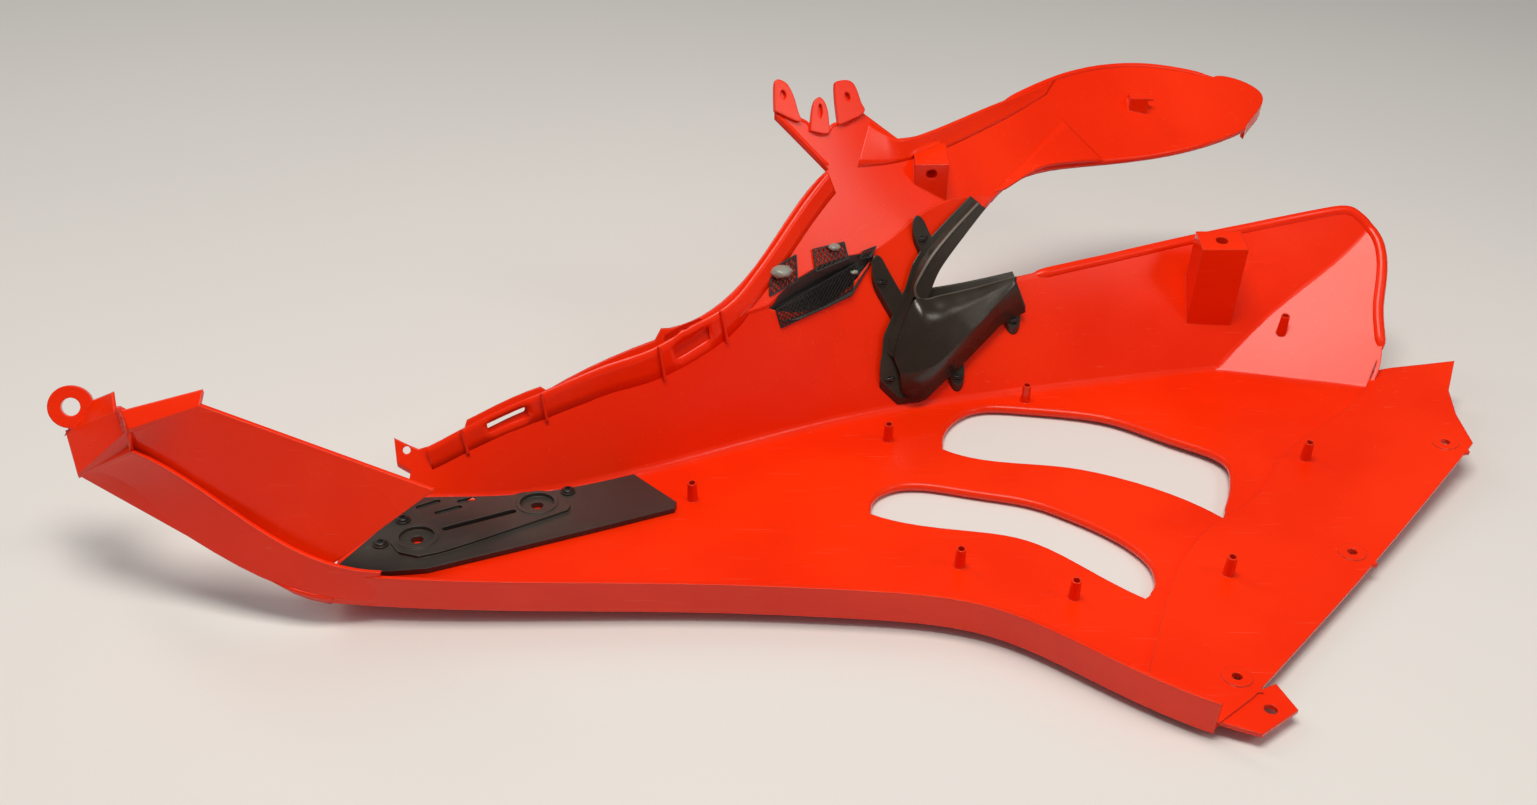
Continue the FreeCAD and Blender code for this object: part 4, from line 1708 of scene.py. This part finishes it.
@dataclass
class DarkPieces:
    """The plate, the trim, the intake mesh and the screws.

    Attributes:
        mould: the frame in which they are drawn.
        plate_screws, trim_screws: the screws' plan points, in millimetres.
    """

    mould: MouldFrame
    plate_screws: PlanLine = ((-240.0, -188.0), (-132.0, -124.0), (-232.0, -161.0))
    trim_screws: PlanLine = ((109.0, 59.0), (79.0, 30.0), (86.0, -3.0), (137.0, 9.0), (179.0, 41.0))

    def build_plate(self) -> list[Piece]:
        """Dresses the plate.

        Returns:
            The plate.
        """
        plate = PlasticFinish(
            "dark plate plastic",
            colour=(0.030, 0.027, 0.024), cloud=(0.042, 0.037, 0.032), edge=(0.075, 0.066, 0.058),
            rough=0.40, grain=1500.0, relief=0.10, edge_radius=1.0 * MM,
        ).make()
        return [CadPiece("wing_mount_plate", plate).dress()]

    def build_trim(self) -> list[Piece]:
        """Dresses the trim and makes its faces.

        Returns:
            The trim and its faces.
        """
        trim = PlasticFinish(
            "dark trim plastic",
            colour=(0.027, 0.022, 0.016), cloud=(0.036, 0.030, 0.023), edge=(0.080, 0.068, 0.054),
            rough=0.30, grain=1700.0, relief=0.06, edge_radius=0.9 * MM,
        ).make()
        # The rim's lighter colour is partly wear, partly a painted highlight along the trim's rim.
        rim = PlasticFinish(
            "rubbed trim rim",
            colour=(0.075, 0.064, 0.052), cloud=(0.095, 0.082, 0.068), edge=(0.13, 0.115, 0.095),
            rough=0.36, grain=1700.0, relief=0.05, edge_radius=0.4 * MM,
        ).make()
        return [CadPiece("notch_trim", trim).dress(), *TrimCover(trim, rim, self.mould).build()]

    def build_mesh(self) -> list[Piece]:
        """Makes the intake mesh.

        Returns:
            The metal and its glue.
        """
        black = PlasticFinish(
            "black mesh coating",
            colour=(0.010, 0.011, 0.011), cloud=(0.018, 0.020, 0.019), edge=(0.060, 0.064, 0.062),
            rough=0.38, grain=2500.0, relief=0.04, edge_radius=0.15 * MM,
        ).make()
        glue = GlueFinish("hot glue", colour=(0.36, 0.38, 0.34), clear=(0.16, 0.18, 0.16)).make()
        return IntakeMesh(black, glue, self.mould).build()

    def build_screws(self) -> list[Piece]:
        """Makes the screws.

        Returns:
            The plate's and the trim's screws.
        """
        steel = PlasticFinish(
            "black screw steel",
            colour=(0.016, 0.016, 0.016), cloud=(0.026, 0.025, 0.024), edge=(0.12, 0.12, 0.11),
            rough=0.34, grain=2600.0, relief=0.05, edge_radius=0.25 * MM, metal=0.3,
        ).make()
        return [
            ScrewSet("plate_screws", self.plate_screws, ScrewHead.PAN, steel, self.mould).build(),
            ScrewSet("trim_screws", self.trim_screws, ScrewHead.SUNK, steel, self.mould).build(),
        ]


@dataclass
class ShellLooks:
    """The painted shell with its rims, flanges, tabs and webs. Plan points are in millimetres.

    Attributes:
        mould: the frame in which it is drawn.
        belt, spoon, spoon_top, upper_gill, lower_gill, horn, horn_lip: the lines of the rolled rims.
        arm_fold, arm_edge, arm_rises: the arm's turned top flange.
        spine, spine_edge, spine_rises: the arm's lower face.
        nose_web, chin_web: the two webs' rows.
    """

    mould: MouldFrame
    belt: PlanLine = (
        (194.0, 67.5), (248.0, 85.0), (330.0, 107.0), (422.0, 116.0), (445.0, 110.5), (455.0, 94.0), (450.0, 50.0),
        (446.5, 20.0),
    )
    spoon: PlanLine = ((352.0, 194.0), (305.0, 173.0), (254.0, 157.0), (204.0, 136.0), (176.0, 112.0))
    spoon_top: PlanLine = ((178.0, 172.0), (226.0, 212.5), (267.0, 234.5), (298.0, 243.5), (357.0, 245.5))
    upper_gill: PlanLine = (
        (297.0, -141.0), (311.0, -108.0), (313.0, -80.0), (285.0, -54.0), (245.0, -24.0), (189.0, -10.0),
        (150.0, -9.0), (128.0, -30.0), (121.0, -64.0),
    )
    lower_gill: PlanLine = (
        (229.0, -225.0), (238.0, -210.0), (236.0, -188.0), (195.0, -141.0), (174.0, -127.0), (134.0, -115.0),
        (90.0, -107.0), (74.0, -115.0), (66.0, -142.0),
    )
    horn: PlanLine = ((43.0, 70.0), (30.0, 75.0), (18.0, 79.5), (5.5, 84.0))
    horn_lip: PlanLine = ((17.0, 84.0), (30.0, 82.5), (41.0, 86.0), (54.0, 95.5), (66.0, 106.0))
    arm_fold: PlanLine = (
        (63.0, 78.0), (80.0, 86.0), (98.0, 96.0), (121.0, 111.0), (145.0, 130.0), (174.0, 156.0), (214.0, 194.0),
    )
    arm_edge: PlanLine = (
        (72.0, 105.5), (84.0, 104.5), (95.0, 105.5), (118.0, 121.0), (146.0, 144.0), (175.0, 169.0), (222.0, 208.0),
    )
    arm_rises: tuple[float, ...] = (0.0, 1.6, 4.2, 5.6, 5.0, 4.0, 0.5)
    spine: PlanLine = ((166.0, 105.0), (189.0, 133.0), (210.0, 161.0), (226.0, 181.0))
    spine_edge: PlanLine = ((175.0, 111.5), (204.0, 136.5), (232.0, 149.0), (258.0, 158.5))
    spine_rises: tuple[float, ...] = (1.5, 4.0, 5.5, 0.5)
    nose_web: tuple[SpaceLine, ...] = (
        ((-364.0, -204.0, 135.0), (-372.5, -189.0, 138.0), (-381.0, -174.0, 140.0)),
        ((-363.0, -203.5, 142.5), (-368.5, -191.0, 146.5), (-376.0, -180.0, 148.0)),
        ((-361.0, -202.0, 150.0), (-364.5, -196.0, 152.0), (-368.0, -190.0, 154.0)),
    )
    chin_web: tuple[SpaceLine, ...] = (
        ((-290.0, -238.6, 65.0), (-276.0, -242.6, 61.0), (-265.0, -243.8, 58.0), (-254.0, -244.2, 55.5)),
        ((-289.0, -238.4, 64.0), (-277.0, -241.8, 57.5), (-269.0, -241.6, 52.5), (-258.0, -240.6, 47.4)),
    )

    def paint(self) -> Material:
        """Makes the paint.

        Returns:
            The material.
        """
        return PaintFinish(
            "red paint",
            colour=(0.93, 0.030, 0.0008),
            deep=(0.84, 0.022, 0.0008),
            pale=(0.95, 0.34, 0.20),
            inner_rough=0.27,
            outer_rough=0.14,
            inner_coat=0.06,
            outer_coat=0.22,
            edge_radius=1.4 * MM,
            draw=self.mould.axis(0, 0, 1),
        ).make()

    def build(self) -> list[Piece]:
        """Dresses the shell and makes its finer forms.

        Returns:
            The shell and the forms on it.
        """
        paint, mould = self.paint(), self.mould
        return [
            CadPiece(SHELL_NODE, paint).dress(),
            *HeadlightFlange(paint, mould).build(),
            RolledRim("belt_roll", self.belt, 4.5, 1.4, paint, mould).build(),
            RolledRim("spoon_lower_roll", self.spoon, 3.0, 1.0, paint, mould).build(),
            RolledRim("spoon_upper_roll", self.spoon_top, 2.6, 0.8, paint, mould).build(),
            RolledRim("upper_gill_roll", self.upper_gill, 3.2, 1.2, paint, mould, sink=0.93).build(),
            RolledRim("lower_gill_roll", self.lower_gill, 3.2, 1.2, paint, mould, sink=0.93).build(),
            RolledRim("horn_roll", self.horn, 2.2, 1.0, paint, mould).build(),
            RolledRim("horn_lip", self.horn_lip, 1.5, 0.0, paint, mould).build(),
            HornTabs(paint, mould).build(),
            MouldedWeb("nose_web", self.nose_web, paint, mould).build(),
            MouldedWeb("chin_web", self.chin_web, paint, mould).build(),
            TurnedFlange("arm_top_flange", self.arm_fold, self.arm_edge, self.arm_rises, paint, mould).build(),
            TurnedFlange("arm_lower_face", self.spine, self.spine_edge, self.spine_rises, paint, mould).build(),
        ]


def mould_frame() -> MouldFrame:
    """Gives the mould's frame, tied to the record's nose ring.

    Returns:
        The frame.
    """
    nose = next(m for m in frame["record"]["mounts"] if m["name"] == "nose_ring")
    return MouldFrame(roll=9.4, anchor=(-421.0, -151.0, 123.0), anchor_at_rest=tuple(nose["pos_m"]))


def main() -> None:
    """Builds the part and its studio, and reports each piece."""
    logging.basicConfig(level=logging.INFO)
    mould = mould_frame()
    dark = DarkPieces(mould)
    floor = FloorFinish("pale floor", colour=(0.74, 0.74, 0.73), other=(0.70, 0.70, 0.70)).make()
    for build in (
        dark.build_plate,
        dark.build_trim,
        ShellLooks(mould).build,
        dark.build_mesh,
        dark.build_screws,
        Studio(mould, floor).build,
    ):
        for piece in build():
            LOG.info("built %s", piece.name)


if __name__ == "__main__":
    main()
